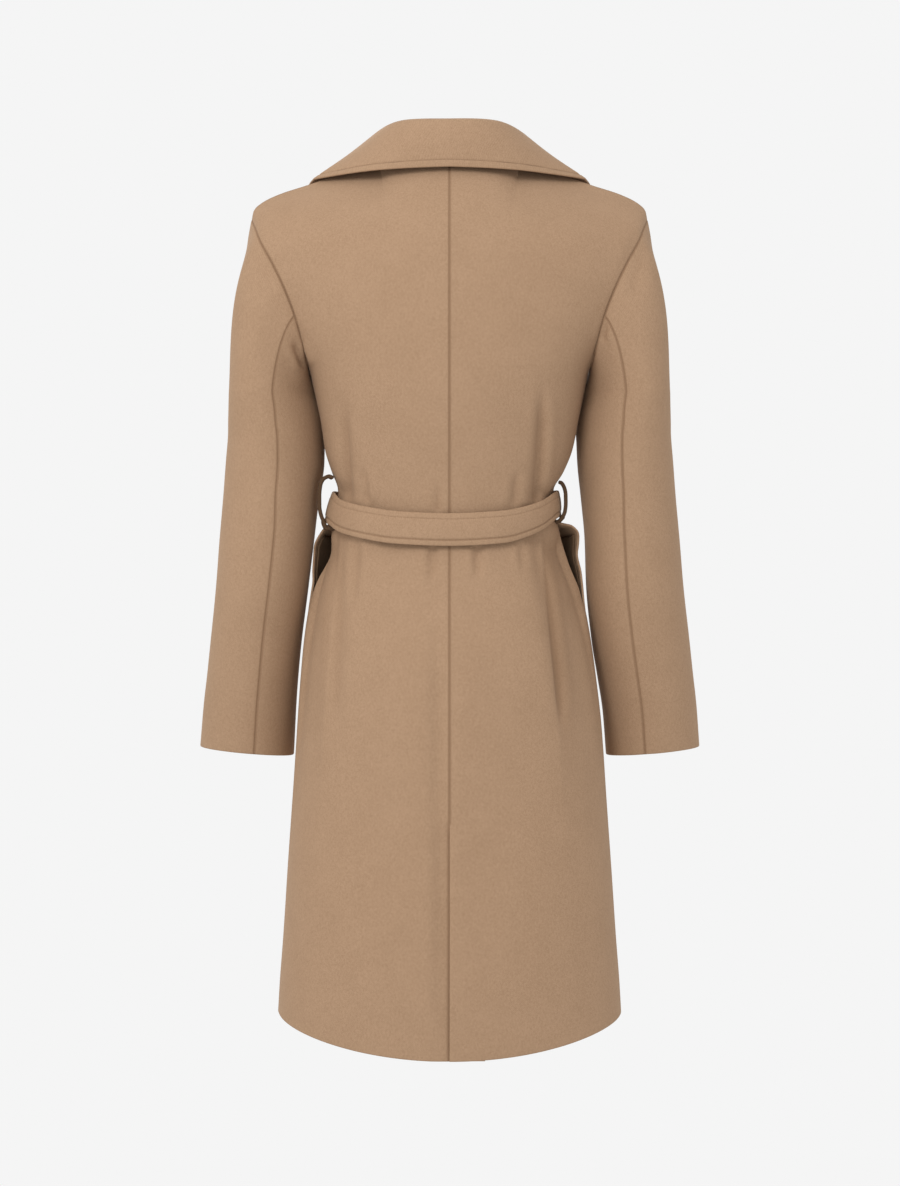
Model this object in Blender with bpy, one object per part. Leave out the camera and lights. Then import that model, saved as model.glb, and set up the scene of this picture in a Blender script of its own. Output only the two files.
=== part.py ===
"""A camel wool wrap coat, filled out as if worn, tied at the front with its own belt.

Metres, +Z up. The coat faces -Y and its back faces +Y, so the wearer's left is +X.
The origin is at the base of the neck, level with the two side neck points.
Tables and driving dimensions are in millimetres; a mesh is written in metres.
"""

import bpy
import numpy as np
from mathutils import Vector
from mathutils.bvhtree import BVHTree

MM = 0.001
LEFT, RIGHT = 1, -1

# Cloth and seams
CLOTH = 2.4
SEAM_GAP = 0.3
ARMHOLE_EASE = 0.9
REST_GAP = 0.8
THICKEST_MITRE = 2.0

# Belt, belt loops and knot
BELT_HEIGHT = 36.5
BELT_THICK = 3.2
BELT_AXIS_Y = -15.0
BELT_PROBES, BELT_SPREAD = (0.2, 0.6, 1.1), (-7.0, -3.5, 0.0, 3.5, 7.0)
KNOT_ANGLE = 177.0
KNOT_HALF = (27.0, 14.0, 23.0)
KNOT_ROUND, KNOT_TAPER, KNOT_FLAT = 0.72, 0.6, 0.85
LOOP_WIDTH, LOOP_THICK, LOOP_Y = 8.0, 2.8, 13.0
LOOP_GAP, LOOP_SEAT = 0.4, 0.7
TAIL_THICK = 3.0
TAIL_LEAVE, TAIL_GATHER = 90.0, 0.45

# Lapels and collar
FOLD_RADIUS = 1.6
LAPEL_LIFT = 1.2
BREAK_Z, GORGE_Z = -345, -122
GORGE_SHARE = 0.62
GORGE_GAP = 1.8
NECK_POINT_PLACE = 0.6
OVERLAP_PAST_EDGE, OVERLAP_RUN = 14.0, 60.0

# Armhole and sleeve head
UNDERARM_Z, SLEEVE_SEAM_Z = -235, -180
EASED = (-300.0, -180.0)
EASED_POWER = 7
SLEEVE_FLARE, SLEEVE_BACK = 0.05, 0.25
SLEEVE_ARRIVE = 0.85

# Vent
VENT_TOP_Z = -697
UNDERLAP = (-38.0, -22.0, -7.0)
UNDERLAP_DROP, UNDERLAP_SLOPE = 3.4, 0.02
VENT_DIP, VENT_PART = 3.0, 1.0

# Pocket bags
POCKET_TOP_Z, POCKET_BOTTOM_Z = -411, -560
POCKET_REACH = 4
POCKET_CLOTH = 1.2
POCKET_SEAT, POCKET_GAP = 0.5, 1.6
POCKET_OPEN, POCKET_SHUT, POCKET_ROUND = 17.0, 1.8, 60.0

# How much the hem lifts towards the side seams ahead of a plain ellipse
HEM_CURVE, HEM_CURVE_TOP = 0.5, -600

# The banks of cloth each side of a fold's trough: how far from it in fold widths, and how high
BANK_AT, BANK_HIGH = 1.5, 0.55

# Further out than any point of the coat
OUTSIDE = 900.0

# Steps of the meshes
ROW_Z = (
    -940, -890, -840, -790, -742, VENT_TOP_Z, -650, -605, -560, -525, -495, -470, -453, -439, -426, -414,
    -405.5, -402, -389, -375, -360, BREAK_Z, -324, -303, -282, -260, UNDERARM_Z, -233, -228, -220,
    -208, -194, SLEEVE_SEAM_Z, -165, -150, -136, GORGE_Z, -108, -95, -82, -70,
)
NECK_STEPS, SHOULDER_STEPS = 4, 10
FOLD_TURNS = (90, 180)
LAPEL_STEPS = 3
SLEEVE_Z = (-656, -614, -572, -534, -495, -456, -417, -378, -340, -300, -262)
CAP_STEPS = 4
BELT_STEPS = 60
LOOP_STEPS = 12
TAIL_STEPS = 12
KNOT_STEPS = (20, 10)

CAMEL = (0.462, 0.311, 0.193)


class Table:
    """Rows under named columns, read between rows along a smooth curve that never overshoots them."""

    def __init__(self, columns, rows):
        self.names = columns.split()
        self.rows = np.array(sorted(rows), float)

    def at(self, key, *names):
        found = [curve(self.rows[:, 0], self.rows[:, self.names.index(name)], key) for name in names]
        return found[0] if len(found) == 1 else found


def curve(knots, values, key):
    """A monotone cubic through the values, at key."""
    step = np.diff(knots)
    slope = np.diff(values) / step
    tangent = np.zeros(len(knots))
    same = slope[1:] * slope[:-1] > 0
    weight = step[1:] + step[:-1]
    near = weight + step[1:]
    far = weight + step[:-1]
    safe_a = np.where(same, slope[:-1], 1.0)
    safe_b = np.where(same, slope[1:], 1.0)
    tangent[1:-1] = np.where(same, (near + far) / (near / safe_a + far / safe_b), 0.0)
    tangent[0], tangent[-1] = slope[0], slope[-1]
    key = np.clip(key, knots[0], knots[-1])
    i = np.clip(np.searchsorted(knots, key, side="right") - 1, 0, len(knots) - 2)
    t = (key - knots[i]) / step[i]
    return (
        values[i] * (1 + 2 * t) * (1 - t) ** 2
        + step[i] * tangent[i] * t * (1 - t) ** 2
        + values[i + 1] * t * t * (3 - 2 * t)
        + step[i] * tangent[i + 1] * t * t * (t - 1)
    )


# The side seam: half widths on the wearer's left and right, and how far back it lies
SIDE_SEAM = Table("z left right y", [
    (-940, 188.5, 188.5, 4),
    (-905, 186.5, 186.5, 4),
    (-860, 183.0, 183.0, 4),
    (-775, 177.3, 177.3, 4),
    (-692, 171.5, 171.5, 4),
    (-653, 169.0, 169.0, 5),
    (-620, 167.0, 166.5, 5),
    (-576, 164.0, 161.5, 6),
    (-532, 160.0, 155.5, 6),
    (-504, 156.0, 150.5, 6),
    (-488, 153.0, 147.0, 6),
    (-472, 149.0, 143.0, 6),
    (-439, 138.0, 130.0, 6),
    (-412, 129.5, 121.0, 6),
    (-398, 127.0, 117.0, 6),
    (-384, 123.0, 114.0, 6),
    (-368, 122.5, 114.5, 5),
    (-345, 130.0, 126.0, 5),
    (-323, 136.5, 135.0, 4),
    (-290, 141.6, 142.0, 3),
    (-262, 148.2, 148.2, 1),
    (UNDERARM_Z, 153.6, 153.6, 0),
])

# The armhole: a curve on each panel from the underarm to the tip of the shoulder
ARMHOLE = Table("z back_x back_y front_x front_y", [
    (UNDERARM_Z, 153.6, 0, 153.6, 0),
    (-233, 154.8, 15, 154.4, -18),
    (-228, 156.2, 27, 154.8, -32),
    (-220, 157.8, 38, 156.0, -44),
    (-208, 160.2, 46, 158.5, -53),
    (-180, 168.0, 54, 163.0, -59),
    (-150, 179.5, 55, 172.0, -57),
    (-122, 193.0, 49, 186.5, -50),
    (-95, 207.5, 34, 203.5, -36),
    (-82, 212.5, 18, 211.5, -22),
    (-70, 218.0, -5, 218.0, -5),
])

# Rows of the back, by the height of their outer end: the centre-back seam, and how far round the row turns
BACK = Table("z centre_z centre_y turn", [
    (-940, -980, 130, 90),
    (-860, -897, 129, 90),
    (-775, -808, 127, 90),
    (-692, -721, 124, 90),
    (-612, -638, 121, 90),
    (-532, -556, 115, 90),
    (-472, -496, 102, 90),
    (-439, -463, 92, 90),
    (-386, -412, 83, 90),
    (-345, -370, 87, 90),
    (-300, -319, 97, 90),
    (-262, -274, 104, 87),
    (-235, -238, 107, 83),
    (-208, -199, 108, 77),
    (-180, -160, 107, 71),
    (-150, -122, 103, 65),
    (-122, -84, 94, 61),
    (-95, -50, 76, 58),
    (-70, -13, 47, 56),
])

# Rows of the fronts: the centre-front line, and the front edge, which is the lapel's roll line above the belt
FRONT = Table("z centre_z centre_y turn edge_x", [
    (-940, -946, -146, 90, -92),
    (-860, -867, -145, 90, -91),
    (-775, -783, -143, 90, -90),
    (-692, -700, -140, 90, -88),
    (-612, -621, -137, 90, -84),
    (-532, -542, -133, 90, -76),
    (-472, -483, -127, 90, -67),
    (-439, -450, -122, 90, -60),
    (-412, -423, -118, 90, -54),
    (-386, -397, -116, 90, -50),
    (-368, -378, -118, 90, -47),
    (-345, -352, -125, 90, -40),
    (-323, -325, -133, 90, -30),
    (-290, -282, -141, 90, -14),
    (-262, -238, -142, 87, 2),
    (-235, -198, -138, 83, 16),
    (-208, -154, -129, 77, 31),
    (-180, -108, -115, 70, 47),
    (-150, -67, -92, 62, 63),
    (-122, -27, -66, 58, 77),
    (-95, -5, -38, 56, 79),
    (-70, 8, -2, 55, 78),
])

# The shoulder seam, from the side neck point to the tip
SHOULDER = Table("share x y z", [
    (0.0, 78, -2, 0),
    (0.28, 116, -2, -16),
    (0.55, 155, -2, -30.8),
    (0.80, 190, -3, -42.5),
    (0.92, 209.0, -4, -52.5),
    (0.97, 216, -5, -60),
    (1.0, 218, -5, -70),
])

# The middle of the belt and its height, by the angle from the centre back, positive to the wearer's left
BELT_LINE = Table("angle z tall", [
    (-180, -398, 36.5), (-135, -389, 35), (-95, -382, 31), (-76, -383.5, 30), (-52, -399.5, 34),
    (-30, -409.5, 36.5), (0, -412.5, 36.5), (30, -410, 36.5), (48, -404.5, 36.5), (66, -396.5, 36),
    (79, -387, 35), (95, -385, 35), (135, -390, 36), (180, -398, 36.5),
])

# How far the wearer's right front lies over the left one
OVERLAP = Table("z out", [
    (-940, 4.6), (-439, 5.0), (-390, 7.5), (-363, 10.5), (-345, 11.8), (-290, 11.8), (-262, 10.5),
    (-235, 7.0), (-208, 2.5), (-180, 0.0), (-70, 0.0),
])

# The lapel beyond its roll line: how wide, and how far its outer edge drops
LAPEL = Table("z width drop", [
    (-345, 18, 4), (-324, 43, 8), (-282, 82, 16), (-235, 102, 26), (-190, 112, 35), (-150, 101, 45),
    (-122, 90, 54),
])

# Where the pocket mouth gapes, the front's side edge stands off the seam
POCKET_GAPE = Table("z out_left out_right forward", [
    (-500, 0, 0, 0), (-470, 3, 5, 4), (-455, 8, 9, 7), (-439, 12.5, 12, 9), (-426, 15.5, 18, 9),
    (-414, 12.5, 21.5, 6), (-405.5, 6, 16, 3), (-402, 0, 0, 0),
])

# Large folds of the back: place and height of the end at the belt and of the far end, then width and depth
BACK_FOLDS = (
    # x_belt, z_belt, x_far, z_far, width, depth
    (112, -372, 119, -270, 15, 5.5),
    (-98, -372, -102, -258, 15, 6.0),
    (122, -420, 130, -650, 17, 6.0),
    (-99, -420, -124, -640, 15, 7.0),
    (104, -424, 105, -480, 8, 2.5),
    (18, -430, 20, -470, 8, 2.0),
    (-31, -430, -31, -468, 8, 2.0),
    (9, -540, 9, -860, 14, 2.5),
)

# The collar, by its place along the neckline: its fold, the middle of its fall, and its outer edge
COLLAR = Table("place fold_x fold_y fold_z fall_x fall_y fall_z edge_x edge_y edge_z", [
    (0.0, 0, 51, 32, 0, 59, 8, 0, 60, -19),
    (0.2, 26, 48, 32.5, 31, 57, 7, 38, 58, -20),
    (0.4, 54.5, 35, 33, 67, 45, 7, 80, 49, -22),
    (0.5, 70, 19, 29.5, 92, 26, 5, 113, 27, -23),
    (0.6, 79, -2, 24.5, 111, -1, -1, 148, 0, -26.8),
    (0.75, 82, -34, 10, 116, -44, -14, 158, -40, -38),
    (1.0, 76, -68, -33, 104, -80, -52, 134, -90, -74),
])
COLLAR_ACROSS = (0.0, 0.16, 0.3, 0.4, 0.47, 0.56, 0.7, 0.85, 1.0)
COLLAR_KNOTS = (0.0, 0.4, 0.7, 1.0)

# The sleeve below the underarm, by the height of its centre: outer and inner edge seen from behind,
# its centre and depth from front to back, its tilt, how far its front part leans in towards the body,
# and the place of its two seams in degrees from the back
SLEEVE = Table("z outer inner_left inner_right mid_y depth tilt lean back_seam front_seam", [
    (-656, 278.3, 173.5, 174.0, -56, 110, 1.0, 0.0, -12, 200),
    (-608, 274.2, 170.5, 170.0, -46, 113, 0.8, 0.0, -12, 200),
    (-572, 269.9, 167.5, 164.0, -38, 116, 0.6, 0.0, -12, 200),
    (-532, 265.5, 163.5, 157.0, -30, 119, 0.4, 0.0, -12, 200),
    (-470, 258.2, 155.5, 150.5, -20, 122, 0.2, 0.0, -12, 200),
    (-420, 253.9, 149.5, 149.0, -19, 126, 0.1, 0.0, -12, 201),
    (-378, 250.0, 145.0, 145.5, -20, 130, 0.0, 0.04, -12, 203),
    (-334, 246.2, 139.5, 141.5, -21, 136, 0.0, 0.1, -14, 206),
    (-310, 243.6, 139.5, 140.8, -21, 141, 0.0, 0.13, -15, 209),
    (-290, 241.8, 139.8, 140.0, -21, 145, 0.0, 0.15, -17, 212),
    (-262, 239.8, 147.0, 147.0, -20, 150, 0.0, 0.15, -20, 216),
])
CUFF_TILT_BACK, CUFF_TILT_IN = 0.03, 0.09

# The way the sleeve cloth leaves the armhole, from the underarm to the tip of the shoulder
SLEEVE_HEAD = Table("z out down", [
    (UNDERARM_Z, 1.1, 0.0), (-208, 0.8, 0.4), (-180, 0.5, 0.55), (-150, 0.7, 0.65), (-95, 0.6, 0.85),
    (-70, 0.18, 1.0),
])

# Belt loops: route of each from above the belt to below it
LOOP_ROUTE = {
    LEFT: (
        (124, -352.5), (131, -350.5), (139.5, -354), (143.6, -362.5), (144.7, -374), (144.6, -386),
        (142.8, -396), (138.5, -405), (133.5, -410.5), (126, -413),
    ),
    RIGHT: (
        (117, -355), (123.5, -358), (127.6, -364), (129.4, -372), (129.6, -382), (128.8, -391),
        (126.6, -397), (123.8, -401), (119, -404.5), (112, -406),
    ),
}

# The two hanging ends of the belt: start and drift sideways, length, how far behind the knot's middle
# they leave it, and the gap to what they hang on
TAILS = {
    "belt_end_left": (6.0, 37.0, 330.0, 4.0, 1.0),
    "belt_end_right": (-6.0, -42.0, 296.0, -4.0, 5.5),
}


def unit(vectors):
    """The vectors at length 1."""
    return vectors / np.maximum(np.linalg.norm(vectors, axis=-1, keepdims=True), 1e-12)


def blend(low, high, value):
    """0 at low, 1 at high, smooth between."""
    t = np.clip((value - low) / (high - low), 0.0, 1.0)
    return t * t * (3 - 2 * t)


class Panel:
    """A piece of cloth: outer points in rows and columns, with the cells that are kept."""

    def __init__(self, name, points, flip, keep=None, thick=CLOTH, sewn=True, ease=0.0):
        self.name, self.thick, self.sewn, self.ease = name, thick, sewn, ease
        self.grid = np.array(points, float)
        rows, columns = self.grid.shape[:2]
        index = np.arange(rows * columns).reshape(rows, columns)
        cells = np.stack([index[:-1, :-1], index[:-1, 1:], index[1:, 1:], index[1:, :-1]], axis=-1)
        cells = cells.reshape(-1, 4) if keep is None else cells[keep]
        self.cells = cells[:, ::-1] if flip else cells
        self.points = self.grid.reshape(-1, 3)
        self.used = np.unique(self.cells)

    def normals(self):
        a, b, c, d = (self.points[self.cells[:, k]] for k in range(4))
        across = unit(np.cross(c - a, d - b))
        total = np.zeros_like(self.points)
        for k in range(4):
            np.add.at(total, self.cells[:, k], across)
        return unit(total)

    def rim(self):
        """The open edges, each in the direction its cell runs."""
        edges = [(int(a), int(b)) for cell in self.cells for a, b in zip(cell, np.roll(cell, -1))]
        found = set(edges)
        return [edge for edge in edges if edge[::-1] not in found]

    def tree(self):
        return BVHTree.FromPolygons([Vector(p) for p in self.points], [list(map(int, c)) for c in self.cells])


def stitch(panels):
    """Gives each panel its inner side. Panels that share points there are sewn: their edges meet in
    one mitre, with the seam gap between them."""
    at = {}
    for panel in panels:
        panel.normal = panel.normals()
        for i in panel.used:
            if panel.sewn:
                at.setdefault(tuple(np.round(panel.points[i], 2)), []).append((panel, i))
    for panel in panels:
        after, before = {}, {}
        for a, b in panel.rim():
            after[a], before[b] = b, a
        panel.outer = panel.points.copy()
        panel.inner = panel.points - panel.normal * panel.thick
        for i in panel.used:
            group = at.get(tuple(np.round(panel.points[i], 2)), [])
            if len(group) < 2 or i not in after or not panel.sewn:
                continue
            mitre = unit(sum(other.normal[j] for other, j in group))
            along = unit(panel.points[after[i]] - panel.points[before[i]])
            inward = unit(np.cross(mitre, along))
            lean = max(float(mitre @ panel.normal[i]), 1 / THICKEST_MITRE)
            ease = panel.ease if any(other.ease == 0 for other, _ in group) else 0.0
            panel.outer[i] = panel.points[i] + inward * (SEAM_GAP / 2 + ease)
            panel.inner[i] = panel.outer[i] - mitre * panel.thick / lean


def material(name, rough=0.92):
    made = bpy.data.materials.get(name) or bpy.data.materials.new(name)
    made.use_nodes = True
    shader = made.node_tree.nodes["Principled BSDF"]
    shader.inputs["Base Color"].default_value = (*CAMEL, 1)
    shader.inputs["Roughness"].default_value = rough
    shader.inputs["Metallic"].default_value = 0.0
    return made


def add_mesh(name, points, faces, slot):
    """An object of these points, in millimetres, and faces."""
    mesh = bpy.data.meshes.new(name)
    mesh.from_pydata([tuple(p) for p in np.array(points) * MM], [], faces)
    mesh.materials.append(material(slot))
    mesh.shade_smooth()
    mesh.set_sharp_from_angle(angle=np.radians(50))
    made = bpy.data.objects.new(name, mesh)
    bpy.context.scene.collection.objects.link(made)
    return made


def add_wall(panel, slot):
    """The panel as one closed wall: its outer side, its inner side and the rim between them."""
    place = {int(i): k for k, i in enumerate(panel.used)}
    count = len(place)
    points = np.concatenate([panel.outer[panel.used], panel.inner[panel.used]])
    faces = [[place[int(i)] for i in cell] for cell in panel.cells]
    faces += [[place[int(i)] + count for i in cell[::-1]] for cell in panel.cells]
    faces += [[place[b], place[a], place[a] + count, place[b] + count] for a, b in panel.rim()]
    return add_mesh(panel.name, points, faces, slot)


def half_width(z, side):
    return SIDE_SEAM.at(z, "left" if side == LEFT else "right")


def shoulder_seam(share, side):
    x, y, z = SHOULDER.at(share, "x", "y", "z")
    return np.array([side * x, y, z])


def top_weight(z):
    """How far a row takes the shape of the shoulder seam instead of its own curve."""
    return np.clip((z - GORGE_Z) / (ROW_Z[-1] - GORGE_Z), 0.0, 1.0) ** 1.5


def row_point(angle, turn, x, y, z, centre_y, centre_z, side):
    """A point of a body row: the row runs from its centre to its outer end x, y, z as it turns."""
    share = (1 - np.cos(angle)) / (1 - np.cos(turn))
    across = np.sin(angle) / np.sin(turn)
    fall = share + HEM_CURVE * blend(HEM_CURVE_TOP, ROW_Z[0], z) * (across ** 2 - share)
    return np.array([
        side * x * across,
        centre_y + (y - centre_y) * share,
        centre_z + (z - centre_z) * fall,
    ])


def outer_end(z, side, panel):
    """Where a row of the back or the front ends: on the side seam, or above it on the armhole."""
    if z <= UNDERARM_Z:
        return half_width(z, side), SIDE_SEAM.at(z, "y")
    return ARMHOLE.at(z, panel + "_x", panel + "_y")


def arc(z, side, panel, first, shares):
    """A row of the back or the front on its own curve, from angle first (0) to its outer end (1)."""
    x, y = outer_end(z, side, panel)
    centre_z, centre_y, turn = (BACK if panel == "back" else FRONT).at(z, "centre_z", "centre_y", "turn")
    turn = np.radians(turn)
    low, high = EASED
    eased = y
    if low < z < high:
        t = blend(low, high, z)
        eased = SIDE_SEAM.at(low, "y") * (1 - t) + ARMHOLE.at(high, panel + "_y") * t
    row = np.array([
        row_point(first + (turn - first) * s, turn, x, eased, z, centre_y, centre_z, side) for s in shares
    ])
    row[:, 1] += (y - eased) * shares ** EASED_POWER
    return row


def neckline(side):
    """The back neckline, from the centre back to just short of the side neck point."""
    neck_x, neck_y, neck_z = SHOULDER.rows[0, 1:]
    centre_y, centre_z = BACK.at(ROW_Z[-1], "centre_y", "centre_z")
    angles = np.radians(90) * np.arange(NECK_STEPS) / NECK_STEPS
    return [
        np.array([
            side * neck_x * np.sin(a),
            neck_y + (centre_y - neck_y) * np.cos(a),
            centre_z + (neck_z - centre_z) * (1 - np.cos(a)),
        ])
        for a in angles
    ]


def shoulder_line(side):
    """The shoulder seam, from the side neck point to the tip."""
    return [shoulder_seam(k / SHOULDER_STEPS, side) for k in range(SHOULDER_STEPS + 1)]


def back_row(z, side):
    """The points of a back row, from the centre back out."""
    steps = NECK_STEPS + SHOULDER_STEPS
    shares = np.arange(steps + 1) / steps
    real = np.array(neckline(side) + shoulder_line(side))
    plain = arc(ROW_Z[-1], side, "back", 0.0, shares)
    return arc(z, side, "back", 0.0, shares) + top_weight(z) * (real - plain)


def front_arc(z, side, shares):
    """A front row on its own curve; share 0 is the front edge or roll line."""
    x, _ = outer_end(z, side, "front")
    turn, edge = FRONT.at(z, "turn", "edge_x")
    return arc(z, side, "front", np.arcsin(edge * np.sin(np.radians(turn)) / x), shares)


def front_row(z, side):
    """The points of a front row, from its outer end to the front edge or roll line."""
    shares = 1 - np.arange(SHOULDER_STEPS + 1) / SHOULDER_STEPS
    real = np.array(shoulder_line(side)[::-1])
    row = front_arc(z, side, shares) + top_weight(z) * (real - front_arc(ROW_Z[-1], side, shares))
    if side == RIGHT:
        x, _ = outer_end(z, side, "front")
        begin = abs(FRONT.at(z, "edge_x")) + OVERLAP_PAST_EDGE
        finish = min(begin + OVERLAP_RUN, x - OVERLAP_PAST_EDGE)
        row[:, 1] -= OVERLAP.at(z, "out") * (1 - blend(begin, finish, side * row[:, 0]))
    if POCKET_GAPE.rows[0, 0] < z < POCKET_GAPE.rows[-1, 0]:
        out, forward = POCKET_GAPE.at(z, "out_left" if side == LEFT else "out_right", "forward")
        near = np.clip(1 - np.arange(SHOULDER_STEPS + 1) / POCKET_REACH, 0, 1) ** 1.5
        row[:, 0] += side * out * near
        row[:, 1] -= forward * near
    return row


def fold_depth(x, z):
    """How far the back's large folds push its surface in or out at x, z."""
    total = np.zeros_like(x)
    for x_belt, z_belt, x_far, z_far, width, depth in BACK_FOLDS:
        t = (z - z_belt) / (z_far - z_belt)
        line = x_belt + (x_far - x_belt) * t
        d = (x - line) / width
        along = blend(1.0, 0.15, t) * blend(-0.12, 0.02, t)
        bank = np.exp(-(d - np.sign(line) * BANK_AT) ** 2)
        total += along * depth * (BANK_HIGH * bank - np.exp(-d * d))
    return total


def back_panel(side):
    """One back panel, with the vent's underlap in one with the left one."""
    rows = np.array([back_row(z, side) for z in ROW_Z])
    out = unit(np.stack([rows[..., 0], rows[..., 1] - BELT_AXIS_Y, np.zeros(rows.shape[:2])], axis=-1))
    columns = rows.shape[1]
    ends = np.minimum(1.0, np.minimum(np.arange(columns), columns - 1 - np.arange(columns)) / 1.5)
    rows += out * (fold_depth(rows[..., 0], rows[..., 2]) * ends)[..., None]
    name = "back_left" if side == LEFT else "back_right"
    if side == RIGHT:
        return Panel(name, rows, flip=False)
    low = np.array(ROW_Z) < VENT_TOP_Z
    rows[low, 0] += (VENT_PART, -VENT_DIP, 0)
    under = np.stack([
        rows[:, 0] * (0, 1, 1) + (x, -UNDERLAP_DROP - UNDERLAP_SLOPE * abs(x), 0) for x in UNDERLAP
    ], axis=1)
    rows = np.concatenate([under, rows], axis=1)
    keep = np.ones((rows.shape[0] - 1, rows.shape[1] - 1), bool)
    keep[~low[1:], :len(UNDERLAP)] = False
    return Panel(name, rows, flip=True, keep=keep)


def surface_y(tree, x, z):
    """The y of the outermost cloth in front at x, z."""
    hit = tree.ray_cast(Vector((x, -OUTSIDE, z)), Vector((0, 1, 0)))[0]
    return (hit or tree.find_nearest(Vector((x, FRONT.at(z, "centre_y"), z)))[0]).y


def front_panel(side):
    """One front, with its lapel folded back over the chest from the break to the gorge."""
    rows = np.array([front_row(z, side) for z in ROW_Z])
    chest = Panel("chest", rows, flip=side == LEFT)
    tree = chest.tree()
    main = rows.shape[1]
    extra = len(FOLD_TURNS) + LAPEL_STEPS
    rows = np.concatenate([rows, np.repeat(rows[:, -1:], extra, axis=1)], axis=1)
    has_lapel = np.array([BREAK_Z <= z <= GORGE_Z for z in ROW_Z])
    for r in np.flatnonzero(has_lapel):
        roll = rows[r, main - 1].copy()
        for k, degrees in enumerate(FOLD_TURNS):
            a = np.radians(degrees)
            rows[r, main + k] = roll + (-side * FOLD_RADIUS * np.sin(a), -FOLD_RADIUS * (1 - np.cos(a)), 0)
        width, drop = LAPEL.at(ROW_Z[r], "width", "drop")
        for k in range(LAPEL_STEPS):
            q = (k + 1) / LAPEL_STEPS
            x, z = roll[0] + side * width * q, roll[2] - drop * q
            y = surface_y(tree, x, z) - 2 * FOLD_RADIUS - LAPEL_LIFT * q
            rows[r, main + len(FOLD_TURNS) + k] = (x, y, z)
    keep = np.ones((rows.shape[0] - 1, rows.shape[1] - 1), bool)
    keep[~(has_lapel[1:] & has_lapel[:-1]), main - 1:] = False
    panel = Panel("front_left" if side == LEFT else "front_right", rows, flip=side == LEFT, keep=keep)
    panel.main, panel.chest = main, chest
    return panel


def sleeve_section(z, angle, side):
    """A point round the sleeve at this height; the angle runs from the back by way of the outside."""
    inner = SLEEVE.at(z, "inner_left" if side == LEFT else "inner_right")
    outer, mid_y, depth, tilt, lean = SLEEVE.at(z, "outer", "mid_y", "depth", "tilt", "lean")
    y = depth / 2 * np.cos(angle)
    x = (outer - inner) / 2 * np.sin(angle) + lean * y
    drop = tilt * (CUFF_TILT_BACK * y - CUFF_TILT_IN * x)
    return np.array([side * ((outer + inner) / 2 + x), mid_y + y, z - drop])


def sleeve_piece(name, armhole, first, last, side, flip):
    """A sleeve piece hung from these armhole points, between its two seams."""
    length = np.concatenate([[0], np.cumsum(np.linalg.norm(np.diff(armhole, axis=0), axis=1))])
    share = length / length[-1]
    rows = [
        [sleeve_section(z, np.radians(first(z) + (last(z) - first(z)) * s), side) for s in share]
        for z in SLEEVE_Z
    ]
    top_z = SLEEVE_Z[-1]
    for step in range(1, CAP_STEPS + 1):
        t = step / CAP_STEPS
        row = []
        for start, s in zip(armhole, share):
            angle = np.radians(first(top_z) + (last(top_z) - first(top_z)) * s)
            end = sleeve_section(top_z, angle, side)
            out, down = SLEEVE_HEAD.at(start[2], "out", "down")
            span = np.linalg.norm(start - end)
            leave = span * np.array([side * out, SLEEVE_BACK * np.cos(angle), -down])
            arrive = span * np.array([side * SLEEVE_FLARE, 0, -SLEEVE_ARRIVE])
            u = 1 - t
            row.append(
                start * (1 + 2 * u) * (1 - u) ** 2 + leave * u * (1 - u) ** 2
                + end * u * u * (3 - 2 * u) + arrive * u * u * (u - 1)
            )
        rows.append(row)
    return Panel(name, rows, flip, ease=ARMHOLE_EASE)


def sleeves(side, back, front):
    """The upper and the under sleeve, sewn to the armhole edges of the back and the front."""
    word = "left" if side == LEFT else "right"
    under, seam = ROW_Z.index(UNDERARM_Z), ROW_Z.index(SLEEVE_SEAM_Z)
    behind, ahead = back.grid[:, -1], front.grid[:, 0]
    over_arm = np.concatenate([behind[seam:], ahead[seam:-1][::-1]])
    under_arm = np.concatenate([behind[under:seam + 1][::-1], ahead[under + 1:seam + 1]])

    def back_seam(z):
        return SLEEVE.at(z, "back_seam")

    def front_seam(z):
        return SLEEVE.at(z, "front_seam")

    upper = sleeve_piece("sleeve_upper_" + word, over_arm, back_seam, front_seam, side, flip=side == LEFT)
    lower = sleeve_piece(
        "sleeve_under_" + word, under_arm, back_seam, lambda z: front_seam(z) - 360, side, flip=side == RIGHT
    )
    return [upper, lower]


def pushed_out(points, tree, gap, pull=False):
    """The points, each moved off the surface until it is this far outside it, or pulled back to that."""
    moved = []
    for p in points:
        near, normal, _, _ = tree.find_nearest(Vector(p))
        short = gap - (Vector(p) - near).dot(normal)
        moved.append(p + np.array(normal) * (short if pull else max(short, 0.0)))
    return np.array(moved)


def lapel_top(front, side):
    """The line just above a lapel's top edge, from the roll line to where the collar's end stops."""
    top = front.grid[ROW_Z.index(GORGE_Z), front.main - 1:]
    whole, part = divmod(GORGE_SHARE * LAPEL_STEPS, 1)
    stop = len(FOLD_TURNS) + int(whole)
    line = np.array([*top[:stop + 1], top[stop] * (1 - part) + top[stop + 1] * part])
    return line + GORGE_GAP * unit(np.array([side * 0.5, 0.0, 0.87]))


def collar_column(start, place, side, body):
    """One column of the collar, from the neckline over its fold to its outer edge."""
    knots = [start]
    for part in ("fold", "fall", "edge"):
        knots.append(COLLAR.at(place, part + "_x", part + "_y", part + "_z") * np.array([side, 1, 1]))
    knots = np.array(knots)
    column = np.stack([
        curve(np.array(COLLAR_KNOTS), knots[:, axis], np.array(COLLAR_ACROSS)) for axis in range(3)
    ], axis=-1)
    column[1:] = pushed_out(column[1:], body, REST_GAP)
    return column


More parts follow.
